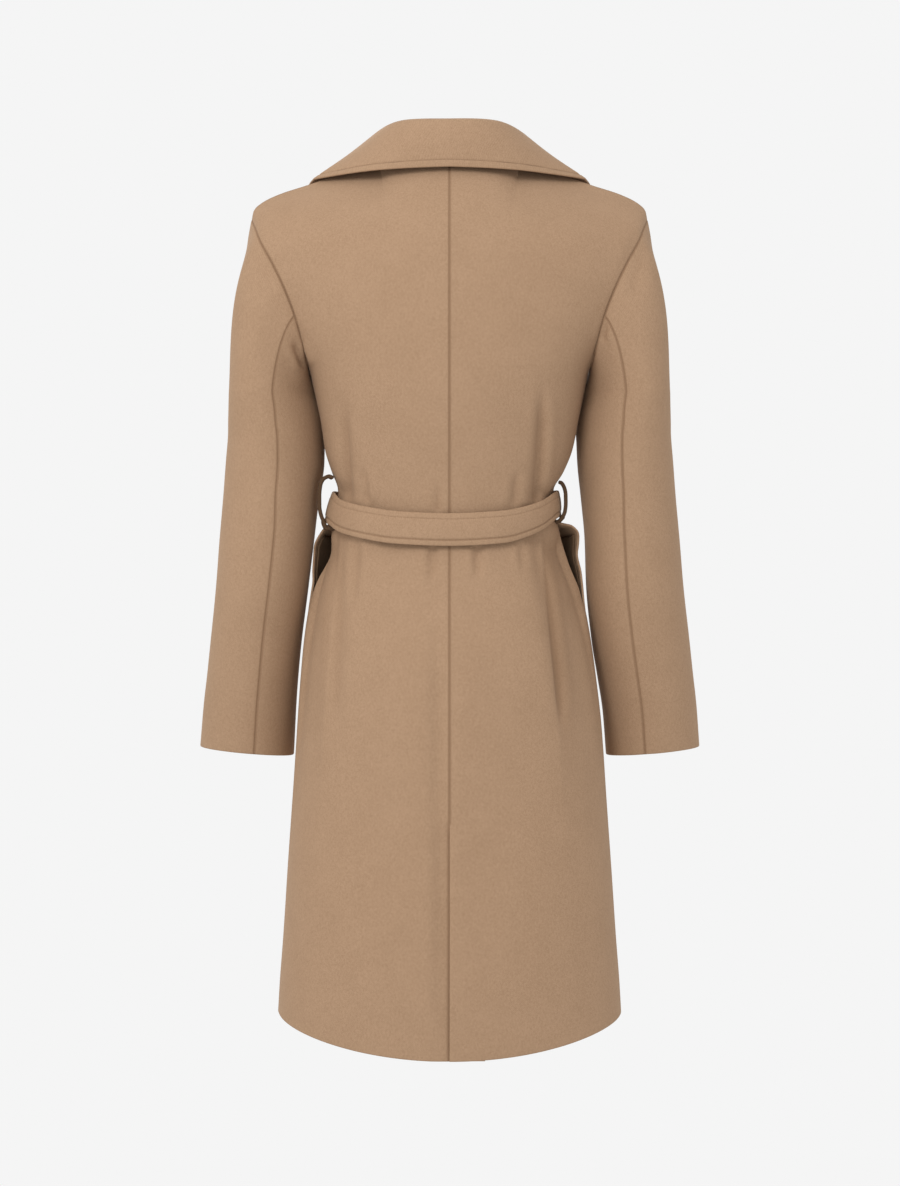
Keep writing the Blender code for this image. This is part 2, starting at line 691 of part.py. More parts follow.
def collar_panel(backs, fronts, body):
    """Stand and fall in one, sewn to the neckline and ending on the lapels' gorge line."""
    gorge = ROW_Z.index(GORGE_Z)
    halves = {}
    for side in (RIGHT, LEFT):
        behind = backs[side].grid[-1, -1 - NECK_STEPS - SHOULDER_STEPS:][:NECK_STEPS]
        ahead = fronts[side].grid[gorge:, fronts[side].main - 1][::-1]
        places = [*np.linspace(0, NECK_POINT_PLACE, NECK_STEPS + 1)]
        places += [*np.linspace(NECK_POINT_PLACE, 1, len(ahead))[1:]]
        starts = [*behind, *ahead]
        halves[side] = [collar_column(start, place, side, body) for start, place in zip(starts, places)]
        line = lapel_top(fronts[side], side)
        at = np.interp(COLLAR_ACROSS, np.linspace(0, 1, len(line)), np.arange(len(line)))
        halves[side][-1] = np.stack([np.interp(at, np.arange(len(line)), axis) for axis in line.T], axis=-1)
    columns = halves[RIGHT][::-1] + halves[LEFT][1:]
    return Panel("collar", np.stack(columns, axis=1), flip=True)


def strap(name, centre, across, half, thick):
    """A flat strap along a centre line, reaching half to each side of it."""
    centre, across = np.array(centre), np.array(across, float) * np.reshape(half, (-1, 1))
    return Panel(name, np.stack([centre - across, centre, centre + across], axis=1), flip=False,
                 thick=thick, sewn=False)


def belt_reach(angle, middle, heights, body):
    """How far the cloth under the belt reaches from its axis, at these heights above the belt's middle."""
    out = Vector((np.sin(angle), np.cos(angle), 0))
    reach = 0.0
    side = Vector((out.y, -out.x, 0))
    for height in heights:
        for aside in BELT_SPREAD:
            axis = Vector((0, BELT_AXIS_Y, middle + height))
            hit = body.ray_cast(axis + out * OUTSIDE + side * aside, -out)[0]
            reach = max(reach, (hit - axis).dot(out))
    return reach


def taut(reach):
    """A smooth line of radii that nowhere cuts into these."""
    line = np.max([np.roll(reach, k) for k in (-1, 0, 1)], axis=0)
    for _ in range(4):
        line = np.maximum((np.roll(line, 1) + 2 * line + np.roll(line, -1)) / 4, reach)
    return line


def belt_band(body):
    """The band round the waist. Its two ends meet behind the knot."""
    angles = np.radians(np.linspace(KNOT_ANGLE - 0.1, KNOT_ANGLE - 359.9, BELT_STEPS + 1))
    middle, tall = BELT_LINE.at((np.degrees(angles) + 180) % 360 - 180, "z", "tall")
    out = np.stack([np.sin(angles), np.cos(angles), 0 * angles], axis=-1)
    columns = []
    for place in (0.5, -0.5):
        reach = taut(np.array([
            belt_reach(a, z, place * t * np.array(BELT_PROBES), body) for a, z, t in zip(angles, middle, tall)
        ]))
        column = out * (reach + REST_GAP + BELT_THICK)[:, None]
        column[:, 1] += BELT_AXIS_Y
        column[:, 2] = middle + place * tall
        columns.append(column)
    columns.insert(1, (columns[0] + columns[1]) / 2)
    return Panel("belt_band", np.stack(columns, axis=1), flip=False, thick=BELT_THICK, sewn=False)


def smooth_route(points, steps):
    """More points along the smooth curve through these."""
    points = np.array(points, float)
    length = np.concatenate([[0], np.cumsum(np.linalg.norm(np.diff(points, axis=0), axis=1))])
    places = np.linspace(0, length[-1], steps + 1)
    return np.stack([curve(length, points[:, axis], places) for axis in range(points.shape[1])], axis=-1)


def belt_loop(side, under):
    """A narrow loop by the side seam that stands off the belt, clear of the cloth and belt under it."""
    word = "left" if side == LEFT else "right"
    route = smooth_route(LOOP_ROUTE[side], LOOP_STEPS)
    centre = [(side * x, LOOP_Y, z) for x, z in route]
    across = [(0, -side, 0)] * len(centre)
    loop = strap("belt_loop_" + word, centre, across, LOOP_WIDTH / 2, LOOP_THICK)
    for _ in range(2):
        loop.points[:] = pushed_out(loop.points, under, LOOP_GAP + LOOP_THICK)
    for row in (loop.grid[0], loop.grid[-1]):
        row[:] = pushed_out(row, under, LOOP_SEAT, pull=True)
    return loop


def knot(centre):
    """The tied knot, a soft rounded lump of the belt."""
    around, up = KNOT_STEPS
    points = [(0, 0, -1)]
    for b in np.pi * (np.arange(1, up) / up - 0.5):
        for a in 2 * np.pi * np.arange(around) / around:
            c, s = np.cos(a), np.sin(a)
            ring = np.cos(b) ** KNOT_TAPER
            points.append((
                np.sign(c) * abs(c) ** KNOT_ROUND * ring, np.sign(s) * abs(s) ** KNOT_ROUND * ring,
                np.sign(b) * abs(np.sin(b)) ** KNOT_FLAT,
            ))
    points.append((0, 0, 1))
    faces = [[0, 1 + (i + 1) % around, 1 + i] for i in range(around)]
    for j in range(up - 2):
        low, high = 1 + j * around, 1 + (j + 1) * around
        faces += [[low + i, low + (i + 1) % around, high + (i + 1) % around, high + i] for i in range(around)]
    low, top = 1 + (up - 2) * around, len(points) - 1
    faces += [[low + i, low + (i + 1) % around, top] for i in range(around)]
    return np.array(points) * KNOT_HALF + centre, faces


def tail(name, knot_centre, lump, body):
    """A hanging end of the belt: it leaves the underside of the knot gathered, and lies down the skirt."""
    start_x, drift, length, forward, gap = TAILS[name]
    start = Vector((knot_centre[0] + start_x, knot_centre[1] + forward, knot_centre[2] - OUTSIDE))
    across = BELT_HEIGHT / 2 * TAIL_GATHER
    top = min(
        lump.ray_cast(start + Vector((dx, dy, 0)), Vector((0, 0, 1)))[0].z
        for dx in np.linspace(-across, across, KNOT_STEPS[0]) for dy in (0, TAIL_THICK / 2, TAIL_THICK)
    ) - SEAM_GAP
    down = np.arange(TAIL_STEPS + 1) / TAIL_STEPS
    x = start.x + drift * down ** 1.4
    z = top - length * down
    y = np.array([
        min(surface_y(body, a + dx, b) for dx in (-BELT_HEIGHT / 2, 0, BELT_HEIGHT / 2)) for a, b in zip(x, z)
    ]) - gap - TAIL_THICK
    for _ in range(2):
        y[1:-1] = np.minimum((y[:-2] + y[2:]) / 2, y[1:-1])
    hang = blend(0, TAIL_LEAVE, length * down)
    y = start.y * (1 - hang) + y * hang
    half = BELT_HEIGHT / 2 * (TAIL_GATHER + (1 - TAIL_GATHER) * hang)
    return strap(name, np.stack([x, y, z], axis=-1)[::-1], [(1, 0, 0)] * len(x), half[::-1], TAIL_THICK)


def pocket_bag(side, front):
    """A bag inside the front: one layer against it and one towards the body, joined at the far edge and
    drawn together at the bottom."""
    word = "left" if side == LEFT else "right"
    rows = [i for i, z in enumerate(ROW_Z) if POCKET_BOTTOM_Z <= z <= POCKET_TOP_Z]
    reach = POCKET_REACH
    normal = front.normals().reshape(front.grid.shape)
    near = CLOTH + POCKET_GAP
    sheet = []
    for i in rows:
        from_end = min(ROW_Z[i] - POCKET_BOTTOM_Z, POCKET_ROUND) / POCKET_ROUND
        depth = POCKET_SHUT + (POCKET_OPEN - POCKET_SHUT) * from_end ** 0.5
        far = near + depth
        line = [front.grid[i, 1] - normal[i, 1] * (CLOTH + POCKET_SEAT)]
        line += [front.grid[i, k] - normal[i, k] * near for k in range(2, reach + 1)]
        turn = front.grid[i, reach] - normal[i, reach] * (near + far) / 2
        turn = turn + unit(front.grid[i, reach + 1] - front.grid[i, reach]) * depth / 2
        line += [turn]
        line += [front.grid[i, k] - normal[i, k] * far for k in range(reach, 0, -1)]
        sheet.append(line)
    return Panel("pocket_" + word, sheet, flip=side == LEFT, thick=POCKET_CLOTH, sewn=False)


def joined_tree(panels):
    points, cells = [], []
    for panel in panels:
        start = len(points)
        points += [Vector(p) for p in panel.points]
        cells += [[int(i) + start for i in cell] for cell in panel.cells]
    return BVHTree.FromPolygons(points, cells)


def main():
    for old in list(bpy.data.objects):
        bpy.data.objects.remove(old)
    backs = {side: back_panel(side) for side in (LEFT, RIGHT)}
    fronts = {side: front_panel(side) for side in (LEFT, RIGHT)}
    body = joined_tree([*backs.values(), *fronts.values()])
    shell = [*backs.values(), *fronts.values()]
    for side in (LEFT, RIGHT):
        shell += sleeves(side, backs[side], fronts[side])
    bare = joined_tree([*backs.values(), *(fronts[side].chest for side in fronts)])
    shell.append(collar_panel(backs, fronts, bare))
    stitch(shell)
    for panel in shell:
        add_wall(panel, "coat_wool")
    pockets = [pocket_bag(side, fronts[side]) for side in (LEFT, RIGHT)]
    band = belt_band(body)
    under = joined_tree([*shell[:4], band])
    centre = band.grid[0, 1] - (0, KNOT_HALF[1] + REST_GAP, 0)
    trim = [band, *(belt_loop(side, under) for side in (LEFT, RIGHT))]
    points, faces = knot(centre)
    lump = BVHTree.FromPolygons([Vector(p) for p in points], faces)
    trim += [tail(name, centre, lump, body) for name in TAILS]
    stitch(pockets)
    stitch(trim)
    for panel in pockets:
        add_wall(panel, "pocket_lining")
    for panel in trim:
        add_wall(panel, "belt")
    add_mesh("belt_knot", points, faces, "belt")


main()
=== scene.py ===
"""The looks of a camel wool wrap coat, filled out as if worn and seen from behind.

Millimetres in the tables, metres in the meshes, +Z up. The coat faces -Y, so the camera stands at +Y.
Each cloth piece is a thin shell on the form of its solid, with its seams, rolled edges and creases.
"""

import bpy
import numpy as np
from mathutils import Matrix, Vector, noise
from mathutils.bvhtree import BVHTree
from mathutils.kdtree import KDTree


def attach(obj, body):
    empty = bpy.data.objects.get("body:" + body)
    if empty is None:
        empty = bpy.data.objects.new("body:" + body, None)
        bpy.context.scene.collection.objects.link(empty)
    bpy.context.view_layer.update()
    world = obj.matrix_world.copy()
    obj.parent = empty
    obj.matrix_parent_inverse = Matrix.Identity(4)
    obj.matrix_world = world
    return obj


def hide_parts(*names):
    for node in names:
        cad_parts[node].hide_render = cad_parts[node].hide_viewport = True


MM = 0.001
LEFT, RIGHT = 1, -1
WORD = {LEFT: "left", RIGHT: "right"}

# Cloth: its thickness, the gap to what lies on it, and how its edges round off
CLOTH, REST_GAP, EDGE_ROUND = 2.4, 0.8, 1.5

# Seams: how far they squeeze the cloth together, how wide, over which distance from the seam line painted
# shade darkens it, and how they calm the folds
SEAM_PRESS, SEAM_WIDTH, SEAM_SHADE_SPAN = 0.62, 1.6, (0.4, 3.0)
SEAM_CALM, CALM_WIDTH = 0.25, 14.0

# How close points and heights count as the same, and a distance beyond every seam
SAME_POINT, SAME_LEVEL, FAR = 0.03, 0.01, 1e3

# Topstitching: its distance from the edge, its groove with painted shade in it, and its thread
TOPSTITCH_IN, BELT_STITCH_IN = 8.0, 7.0
COLLAR_STITCH_ROWS = (5.0, 12.5, 0.9)
STITCH_WIDE, BESIDE_STITCH, BESIDE_CLEAR = 1.2, (-2.4, -1.6, -0.8, 0.0, 0.8, 1.6, 2.4), 0.08
STITCH_SINK, STITCH_SHADE, FIRST_STITCH_SHARE = 0.8, 0.9, 0.4
STITCH_PITCH, STITCH_LONG, THREAD = 3.6, 2.7, 0.55

# Belt
BELT_HEIGHT, BELT_THICK, BELT_AXIS_Y = 36.5, 3.2, -15.0
BELT_PUFF, PUFF_POWER = 2.2, 0.7
BELT_PROBES, BELT_SPREAD = (0.2, 0.6, 1.1), (-7.0, -3.5, 0.0, 3.5, 7.0)
BELT_STEPS, BELT_FINE = 60, 5

# Belt loops
LOOP_WIDTH, LOOP_THICK, LOOP_Y = 8.0, 4.2, 13.0
LOOP_GAP, LOOP_SEAT, LOOP_ENDS = 0.4, 0.2, (1.0, 0.85, 0.6, 0.35, 0.15)
LOOP_STEPS, LOOP_ACROSS = 48, (-1, -0.92, -0.7, -0.3, 0.3, 0.7, 0.92, 1)

# Knot: where it sits round the waist, its half sizes and roundness, and the lean of the turn over it
KNOT_ANGLE = 177.0
KNOT_HALF = (27.0, 14.0, 23.0)
KNOT_ROUND, KNOT_TAPER, KNOT_FLAT = 0.72, 0.6, 0.85
KNOT_STEPS = (96, 64)
KNOT_LEAN = (0.82, 0.57)
KNOT_TURN, KNOT_TURN_HIGH, KNOT_BESIDE, KNOT_FRONT = (0.4, 0.5), 0.05, (0.5, 0.6), (-0.1, 0.5)

# The knot's creases: the places of their lines, how wide and how deep
KNOT_EDGES = ((-0.42, 0.42), 0.07, 0.12)
KNOT_TUCKS = ((-0.16, 0.12), 0.05, 0.045)
KNOT_SIDES = ((-0.35, 0.05, 0.4), 0.08, 0.07)

# Hanging ends of the belt
TAIL_THICK, TAIL_LEAVE, TAIL_GATHER = 3.0, 90.0, 0.45
TAIL_STEPS, TAIL_FINE, TAIL_CLOSE, TAIL_DRIFT = 12, 5, (0.08, 0.2, 0.45), 1.4

# Lapels
FOLD_RADIUS, LAPEL_LIFT, LAPEL_TURNS, LAPEL_SETTLE = 1.6, 1.2, 8, 0.25
BREAK_Z, GORGE_Z = -345, -122
GORGE_SHARE, GORGE_GAP = 0.62, 1.8
OVERLAP_PAST_EDGE, OVERLAP_RUN = 14.0, 60.0

# Collar
NECK_POINT_PLACE = 0.6
COLLAR_DEEP, COLLAR_HELD, COLLAR_FALL = 108.0, 0.12, 0.5
COLLAR_PASSES = 12
COLLAR_KNOTS = (0.0, 0.4, 0.7, 1.0)

# Armhole and sleeve head
UNDERARM_Z, SLEEVE_SEAM_Z = -235, -180
EASED, EASED_POWER = (-300.0, -180.0), 7
UNDERARM_EASE, UNDERARM_FLAT, UNDERARM_SIDE, UNDERARM_PASSES = 62.0, 8.0, (0.35, 0.7), 60
SLEEVE_FLARE, SLEEVE_BACK, SLEEVE_ARRIVE = 0.05, 0.25, 0.85
CAP_LENGTH = 130.0
CUFF_TILT_BACK, CUFF_TILT_IN = 0.03, 0.09

# Vent, with a painted shadow on the underlap beside the overlapping edge
VENT_TOP_Z = -697
UNDERLAP = (-38.0, -37.0, -35.0, -30.0, -22.0, -14.0, -7.0, -3.0)
UNDERLAP_DROP, UNDERLAP_SLOPE = 3.6, 0.06
VENT_DIP, VENT_PART, VENT_EASE, VENT_SHADOW_WIDTH = 3.0, 1.0, 14.0, 5.0

# Pocket bags
POCKET_TOP_Z, POCKET_BOTTOM_Z = -414, -560
POCKET_MOUTH, POCKET_INSIDE, POCKET_REACH, GAPE_POWER = 0.35, 2, 4, 1.5
POCKET_CLOTH, POCKET_SEAT, POCKET_GAP = 1.2, 0.5, 1.6
POCKET_OPEN, POCKET_SHUT, POCKET_ROUND, POCKET_TURNS = 17.0, 1.8, 60.0, 5

# Large folds: the bank beside them, how their ends fade, and how far from the panel's edges they stay whole
BANK_AT, BANK_HIGH, BACK_FOLD_ENDS, FOLD_ENDS = 1.5, 0.15, ((1.0, 0.15), (-0.12, 0.02)), 1.5

# Small folds: where they face, how their ends fade, their banks (height, place and width), and the painted
# shade in their troughs (over which depths it grows, and how strong)
FACING, SMALL_FOLD_ENDS = (-0.05, 0.4), ((-0.12, 0.18), (1.12, 0.62))
FOLD_BANKS = ((0.5, 1.7, 1.15), (0.3, -1.9, 1.2))
CREASE_SHADE_SPAN, CREASE_SHADE = (0.3, 3.0), 0.35

# Turns of the back to its sides: where they face, how sharp they are, how they fade along and past the line,
# and how their painted shade fades along and past it
TURN_FACING, TURN_SHARP, TURN_EDGE, SIDE_KEPT = (0.0, 0.25), 0.3, 4.0, 25.0
TURN_BEGIN, TURN_FADE, SHADE_FADE, SHADE_PAST = (-0.03, 0.03), (1.05, 0.2), (0.75, 0.3), (1.15, 0.35)

# The body's rows by height, its columns, and the grid's steps
ROW_Z = (
    -940, -890, -840, -790, -742, VENT_TOP_Z, -650, -605, -560, -525, -495, -470, -453, -439, -426, -414,
    -405.5, -402, -389, -375, -360, BREAK_Z, -324, -303, -282, -260, UNDERARM_Z, -233, -228, -220,
    -208, -194, SLEEVE_SEAM_Z, -165, -150, -136, GORGE_Z, -108, -95, -82, -70,
)
SLEEVE_Z = (-656, -614, -572, -534, -495, -456, -417, -378, -340, -300, -262)
NECK_STEPS, SHOULDER_STEPS = 4, 10
BACK_STEPS = NECK_STEPS + SHOULDER_STEPS
MESH_STEP = 5.5
EDGE_STEPS, EDGE_CLEAR, EDGE_REACH = (0.35, 0.9, 1.6, 2.6, 4.2), 1.5, 7
HEM_CURVE, HEM_CURVE_TOP, TOP_POWER = 0.5, -600, 1.5
OUTSIDE = 900.0

# Colours: dark and light fibres, then the colour that stands for painted shade, laid into seams, creases,
# grooves, the vent and the back's turns
CAMEL_TONES = ((0.306, 0.193, 0.116), (0.392, 0.254, 0.159), (0.2, 0.115, 0.064))
# The loops' colours are the camel wool painted dark for the shade between sleeve and body
LOOP_SHADED_TONES = ((0.09, 0.052, 0.029), (0.125, 0.075, 0.043), (0.07, 0.04, 0.022))
LINING_TONES = ((0.13, 0.08, 0.045), (0.19, 0.12, 0.07), (0.1, 0.06, 0.035))
THREAD_TONES = ((0.27, 0.17, 0.10), (0.34, 0.22, 0.135), (0.25, 0.15, 0.09))

# Wool: the scales of its cloudiness, clumps, hairs and twill, and how much each one colours it
CLOUD_SCALE, CLUMP_SCALE, HAIR_SCALE, TWILL_SCALE = 26, 420, 1100, 190.0
CLOUD_TONE, CLUMP_TONE, HAIR_TONE, TWILL_TONE = 0.5, 1.3, 2.2, 0.25
# The twill's slant, how the nap is combed, and how strongly the painted shade darkens the wool
TWILL_TURN, NAP_COMBED, PAINTED_SHADE_STRENGTH = 52, 0.7, 0.6

# Its roughness and how clumps change it, its bump (strength, then the heights of clumps, hairs and twill)
ROUGH, ROUGH_CLUMPS = 0.86, 0.2
BUMP, CLUMP_HIGH, HAIR_HIGH, TWILL_HIGH = 0.5, 0.55, 0.3, 0.12

# Studio
PALE = (0.913, 0.913, 0.913)
FLOOR_Z, FLOOR_REACH = -1.32, 60.0
CAMERA_X, CAMERA_AWAY, CAMERA_Z, FRAME_TALL = -0.00055, 4.0, -0.4807, 1.3046
LIGHTS = (
    # name, place, aim, size, power
    ("key", (1.0, 2.6, 1.4), (0, 0, -0.35), 1.2, 42.0),
    ("side", (2.6, 1.6, 0.8), (0, 0, -0.4), 1.2, 9.0),
    ("front", (0.9, -3.2, 1.4), (0, 0, -0.4), 2.0, 42.0),
)


class Table:
    """Rows under named columns, read between rows along a smooth curve that never overshoots them."""

    def __init__(self, columns, rows):
        self.names = columns.split()
        self.rows = np.array(sorted(rows), float)

    def at(self, key, *names):
        """The columns of these names at key."""
        found = [curve(self.rows[:, 0], self.rows[:, self.names.index(name)], key) for name in names]
        return found[0] if len(found) == 1 else found


def curve(knots, values, key):
    """A monotone cubic through the values, at key."""
    step = np.diff(knots)
    slope = np.diff(values) / step
    tangent = np.zeros(len(knots))
    same = slope[1:] * slope[:-1] > 0
    near, far = step[:-1] + 2 * step[1:], 2 * step[:-1] + step[1:]
    safe_a = np.where(same, slope[:-1], 1.0)
    safe_b = np.where(same, slope[1:], 1.0)
    tangent[1:-1] = np.where(same, (near + far) / (near / safe_a + far / safe_b), 0.0)
    tangent[0], tangent[-1] = slope[0], slope[-1]
    key = np.clip(key, knots[0], knots[-1])
    i = np.clip(np.searchsorted(knots, key, side="right") - 1, 0, len(knots) - 2)
    t = (key - knots[i]) / step[i]
    return bent(values[i], step[i] * tangent[i], values[i + 1], step[i] * tangent[i + 1], t)


def bent(start, leave, end, arrive, t):
    """A cubic from start to end that leaves and arrives in these directions."""
    return (
        start * (1 + 2 * t) * (1 - t) ** 2 + leave * t * (1 - t) ** 2
        + end * t * t * (3 - 2 * t) + arrive * t * t * (t - 1)
    )


# The side seam: half widths on the wearer's left and right, and how far back it lies
SIDE_SEAM = Table("z left right y", [
    (-940, 188.5, 188.5, 4),
    (-905, 186.5, 186.5, 4),
    (-860, 183.0, 183.0, 4),
    (-775, 177.3, 177.3, 4),
    (-692, 171.5, 171.5, 4),
    (-653, 169.0, 169.0, 5),
    (-620, 167.0, 166.5, 5),
    (-576, 164.0, 161.5, 6),
    (-532, 160.0, 155.5, 6),
    (-504, 156.0, 150.5, 6),
    (-488, 153.0, 147.0, 6),
    (-472, 149.0, 143.0, 6),
    (-439, 138.0, 130.0, 6),
    (-412, 129.5, 121.0, 6),
    (-398, 127.0, 117.0, 6),
    (-384, 123.0, 114.0, 6),
    (-368, 122.5, 114.5, 5),
    (-345, 130.0, 126.0, 5),
    (-323, 136.5, 135.0, 4),
    (-290, 141.6, 142.0, 3),
    (-262, 148.2, 148.2, 1),
    (UNDERARM_Z, 153.6, 153.6, 0),
])

# The armhole: a curve on each panel from the underarm to the tip of the shoulder
ARMHOLE = Table("z back_x back_y front_x front_y", [
    (UNDERARM_Z, 153.6, 0, 153.6, 0),
    (-233, 154.8, 15, 154.4, -18),
    (-228, 156.2, 27, 154.8, -32),
    (-220, 157.8, 38, 156.0, -44),
    (-208, 160.2, 46, 158.5, -53),
    (-180, 168.0, 54, 163.0, -59),
    (-150, 179.5, 55, 172.0, -57),
    (-122, 193.0, 49, 186.5, -50),
    (-95, 207.5, 34, 203.5, -36),
    (-82, 212.5, 18, 211.5, -22),
    (-70, 218.0, -5, 218.0, -5),
])

# Rows of the back, by the height of their outer end: the centre-back seam, and how far round the row turns
BACK = Table("z centre_z centre_y turn", [
    (-940, -980, 130, 90),
    (-860, -897, 129, 90),
    (-775, -808, 127, 90),
    (-692, -721, 124, 90),
    (-612, -638, 121, 90),
    (-532, -556, 115, 90),
    (-472, -496, 102, 90),
    (-439, -463, 92, 90),
    (-386, -412, 83, 90),
    (-345, -370, 87, 90),
    (-300, -319, 97, 90),
    (-262, -274, 104, 87),
    (-235, -238, 107, 83),
    (-208, -199, 108, 77),
    (-180, -160, 107, 71),
    (-150, -122, 103, 65),
    (-122, -84, 94, 61),
    (-95, -50, 76, 58),
    (-70, -13, 47, 56),
])

# Rows of the fronts: the centre-front line, and the front edge, above the belt the lapel's roll line
FRONT = Table("z centre_z centre_y turn edge_x", [
    (-940, -946, -146, 90, -92),
    (-860, -867, -145, 90, -91),
    (-775, -783, -143, 90, -90),
    (-692, -700, -140, 90, -88),
    (-612, -621, -137, 90, -84),
    (-532, -542, -133, 90, -76),
    (-472, -483, -127, 90, -67),
    (-439, -450, -122, 90, -60),
    (-412, -423, -118, 90, -54),
    (-386, -397, -116, 90, -50),
    (-368, -378, -118, 90, -47),
    (-345, -352, -125, 90, -40),
    (-323, -325, -133, 90, -30),
    (-290, -282, -141, 90, -14),
    (-262, -238, -142, 87, 2),
    (-235, -198, -138, 83, 16),
    (-208, -154, -129, 77, 31),
    (-180, -108, -115, 70, 47),
    (-150, -67, -92, 62, 63),
    (-122, -27, -66, 58, 77),
    (-95, -5, -38, 56, 79),
    (-70, 8, -2, 55, 78),
])

# The shoulder seam, from the side neck point to the tip
SHOULDER = Table("share x y z", [
    (0.0, 78, -2, 0),
    (0.28, 116, -2, -16),
    (0.55, 155, -2, -30.8),
    (0.80, 190, -3, -42.5),
    (0.92, 209.0, -4, -52.5),
    (0.97, 216, -5, -60),
    (1.0, 218, -5, -70),
])

# The middle of the belt and its height, by the angle from the centre back, positive to the wearer's left
BELT_LINE = Table("angle z tall", [
    (-180, -398, 36.5), (-135, -389, 35), (-95, -382, 31), (-76, -383.5, 30), (-52, -399.5, 34),
    (-30, -409.5, 36.5), (0, -412.5, 36.5), (30, -410, 36.5), (48, -404.5, 36.5), (66, -396.5, 36),
    (79, -387, 35), (95, -385, 35), (135, -390, 36), (180, -398, 36.5),
])

# How far the wearer's right front lies over the left one
OVERLAP = Table("z out", [
    (-940, 4.6), (-439, 5.0), (-390, 7.5), (-363, 10.5), (-345, 11.8), (-290, 11.8), (-262, 10.5),
    (-235, 7.0), (-208, 2.5), (-180, 0.0), (-70, 0.0),
])

# The lapel beyond its roll line: how wide, and how far its outer edge drops
LAPEL = Table("z width drop", [
    (-345, 18, 4), (-324, 43, 8), (-282, 82, 16), (-235, 102, 26), (-190, 112, 35), (-150, 101, 45),
    (-122, 90, 54),
])

# Where the pocket mouth gapes, the front's side edge stands off the seam
POCKET_GAPE = Table("z out_left out_right forward", [
    (-500, 0, 0, 0), (-470, 3, 5, 4), (-455, 8, 9, 7), (-439, 12.5, 12, 9), (-426, 15.5, 18, 9),
    (-414, 12.5, 21.5, 6), (-405.5, 6, 16, 3), (-402, 0, 0, 0),
])

# Large folds of the back: place and height of the end at the belt and of the far end, then width and depth
BACK_FOLDS = (
    # x_belt, z_belt, x_far, z_far, width, depth
    (112, -372, 119, -270, 15, 5.5),
    (-98, -372, -102, -258, 15, 6.0),
    (122, -420, 130, -650, 17, 6.0),
    (-99, -420, -124, -640, 15, 7.0),
    (104, -424, 105, -480, 8, 2.5),
    (18, -430, 20, -470, 8, 2.0),
    (-31, -430, -31, -468, 8, 2.0),
    (9, -540, 9, -860, 14, 2.5),
)

# The collar, by its place along the neckline: its fold, the middle of its fall, and its outer edge
COLLAR = Table("place fold_x fold_y fold_z fall_x fall_y fall_z edge_x edge_y edge_z", [
    (0.0, 0, 51, 32, 0, 59, 8, 0, 60, -19),
    (0.2, 26, 48, 32.5, 31, 57, 7, 38, 58, -20),
    (0.4, 54.5, 35, 33, 67, 45, 7, 80, 49, -22),
    (0.5, 70, 19, 29.5, 92, 26, 5, 113, 27, -23),
    (0.6, 79, -2, 24.5, 111, -1, -1, 148, 0, -26.8),
    (0.75, 82, -34, 10, 116, -44, -14, 158, -40, -38),
    (1.0, 76, -68, -33, 104, -80, -52, 134, -90, -74),
])

# The sleeve below the underarm, by the height of its centre: outer and inner edge seen from behind,
# its centre and depth from front to back, its tilt, how far its front part leans in towards the body,
# and the place of its two seams in degrees from the back
SLEEVE = Table("z outer inner_left inner_right mid_y depth tilt lean back_seam front_seam", [
    (-656, 278.3, 173.5, 174.0, -56, 110, 1.0, 0.0, -12, 200),
    (-608, 274.2, 170.5, 170.0, -46, 113, 0.8, 0.0, -12, 200),
    (-572, 269.9, 167.5, 164.0, -38, 116, 0.6, 0.0, -12, 200),
    (-532, 265.5, 163.5, 157.0, -30, 119, 0.4, 0.0, -12, 200),
    (-470, 258.2, 155.5, 150.5, -20, 122, 0.2, 0.0, -12, 200),
    (-420, 253.9, 149.5, 149.0, -19, 126, 0.1, 0.0, -12, 201),
    (-378, 250.0, 145.0, 145.5, -20, 130, 0.0, 0.04, -12, 203),
    (-334, 246.2, 139.5, 141.5, -21, 136, 0.0, 0.1, -14, 206),
    (-310, 243.6, 139.5, 140.8, -21, 141, 0.0, 0.13, -15, 209),
    (-290, 241.8, 139.8, 140.0, -21, 145, 0.0, 0.19, -17, 212),
    (-262, 239.8, 145.5, 145.0, -20, 150, 0.0, 0.22, -20, 216),
])

# The way the sleeve cloth leaves the armhole, from the underarm to the tip of the shoulder
SLEEVE_HEAD = Table("z out down", [
    (UNDERARM_Z, 0.1, 0.75), (-208, 0.7, 0.45), (-180, 0.5, 0.55), (-150, 0.7, 0.65), (-95, 0.6, 0.85),
    (-70, 0.18, 1.0),
])

# Belt loops: route of each from above the belt to below it
LOOP_ROUTE = {
    LEFT: (
        (124, -352.5), (131, -350.5), (139.5, -354), (143.6, -362.5), (144.7, -374), (144.6, -386),
        (142.8, -396), (138.5, -405), (133.5, -410.5), (126, -413),
    ),
    RIGHT: (
        (117, -355), (123.5, -358), (127.6, -364), (129.4, -372), (129.6, -382), (128.8, -391),
        (126.6, -397), (123.8, -401), (119, -404.5), (112, -406),
    ),
}

# The two hanging ends of the belt: start and drift sideways, length, how far behind the knot's middle
# they leave it, and the gap to what they hang on
TAILS = {
    "belt_end_left": (6.0, 37.0, 330.0, 4.0, 1.0),
    "belt_end_right": (-6.0, -42.0, 296.0, -4.0, 5.5),
}

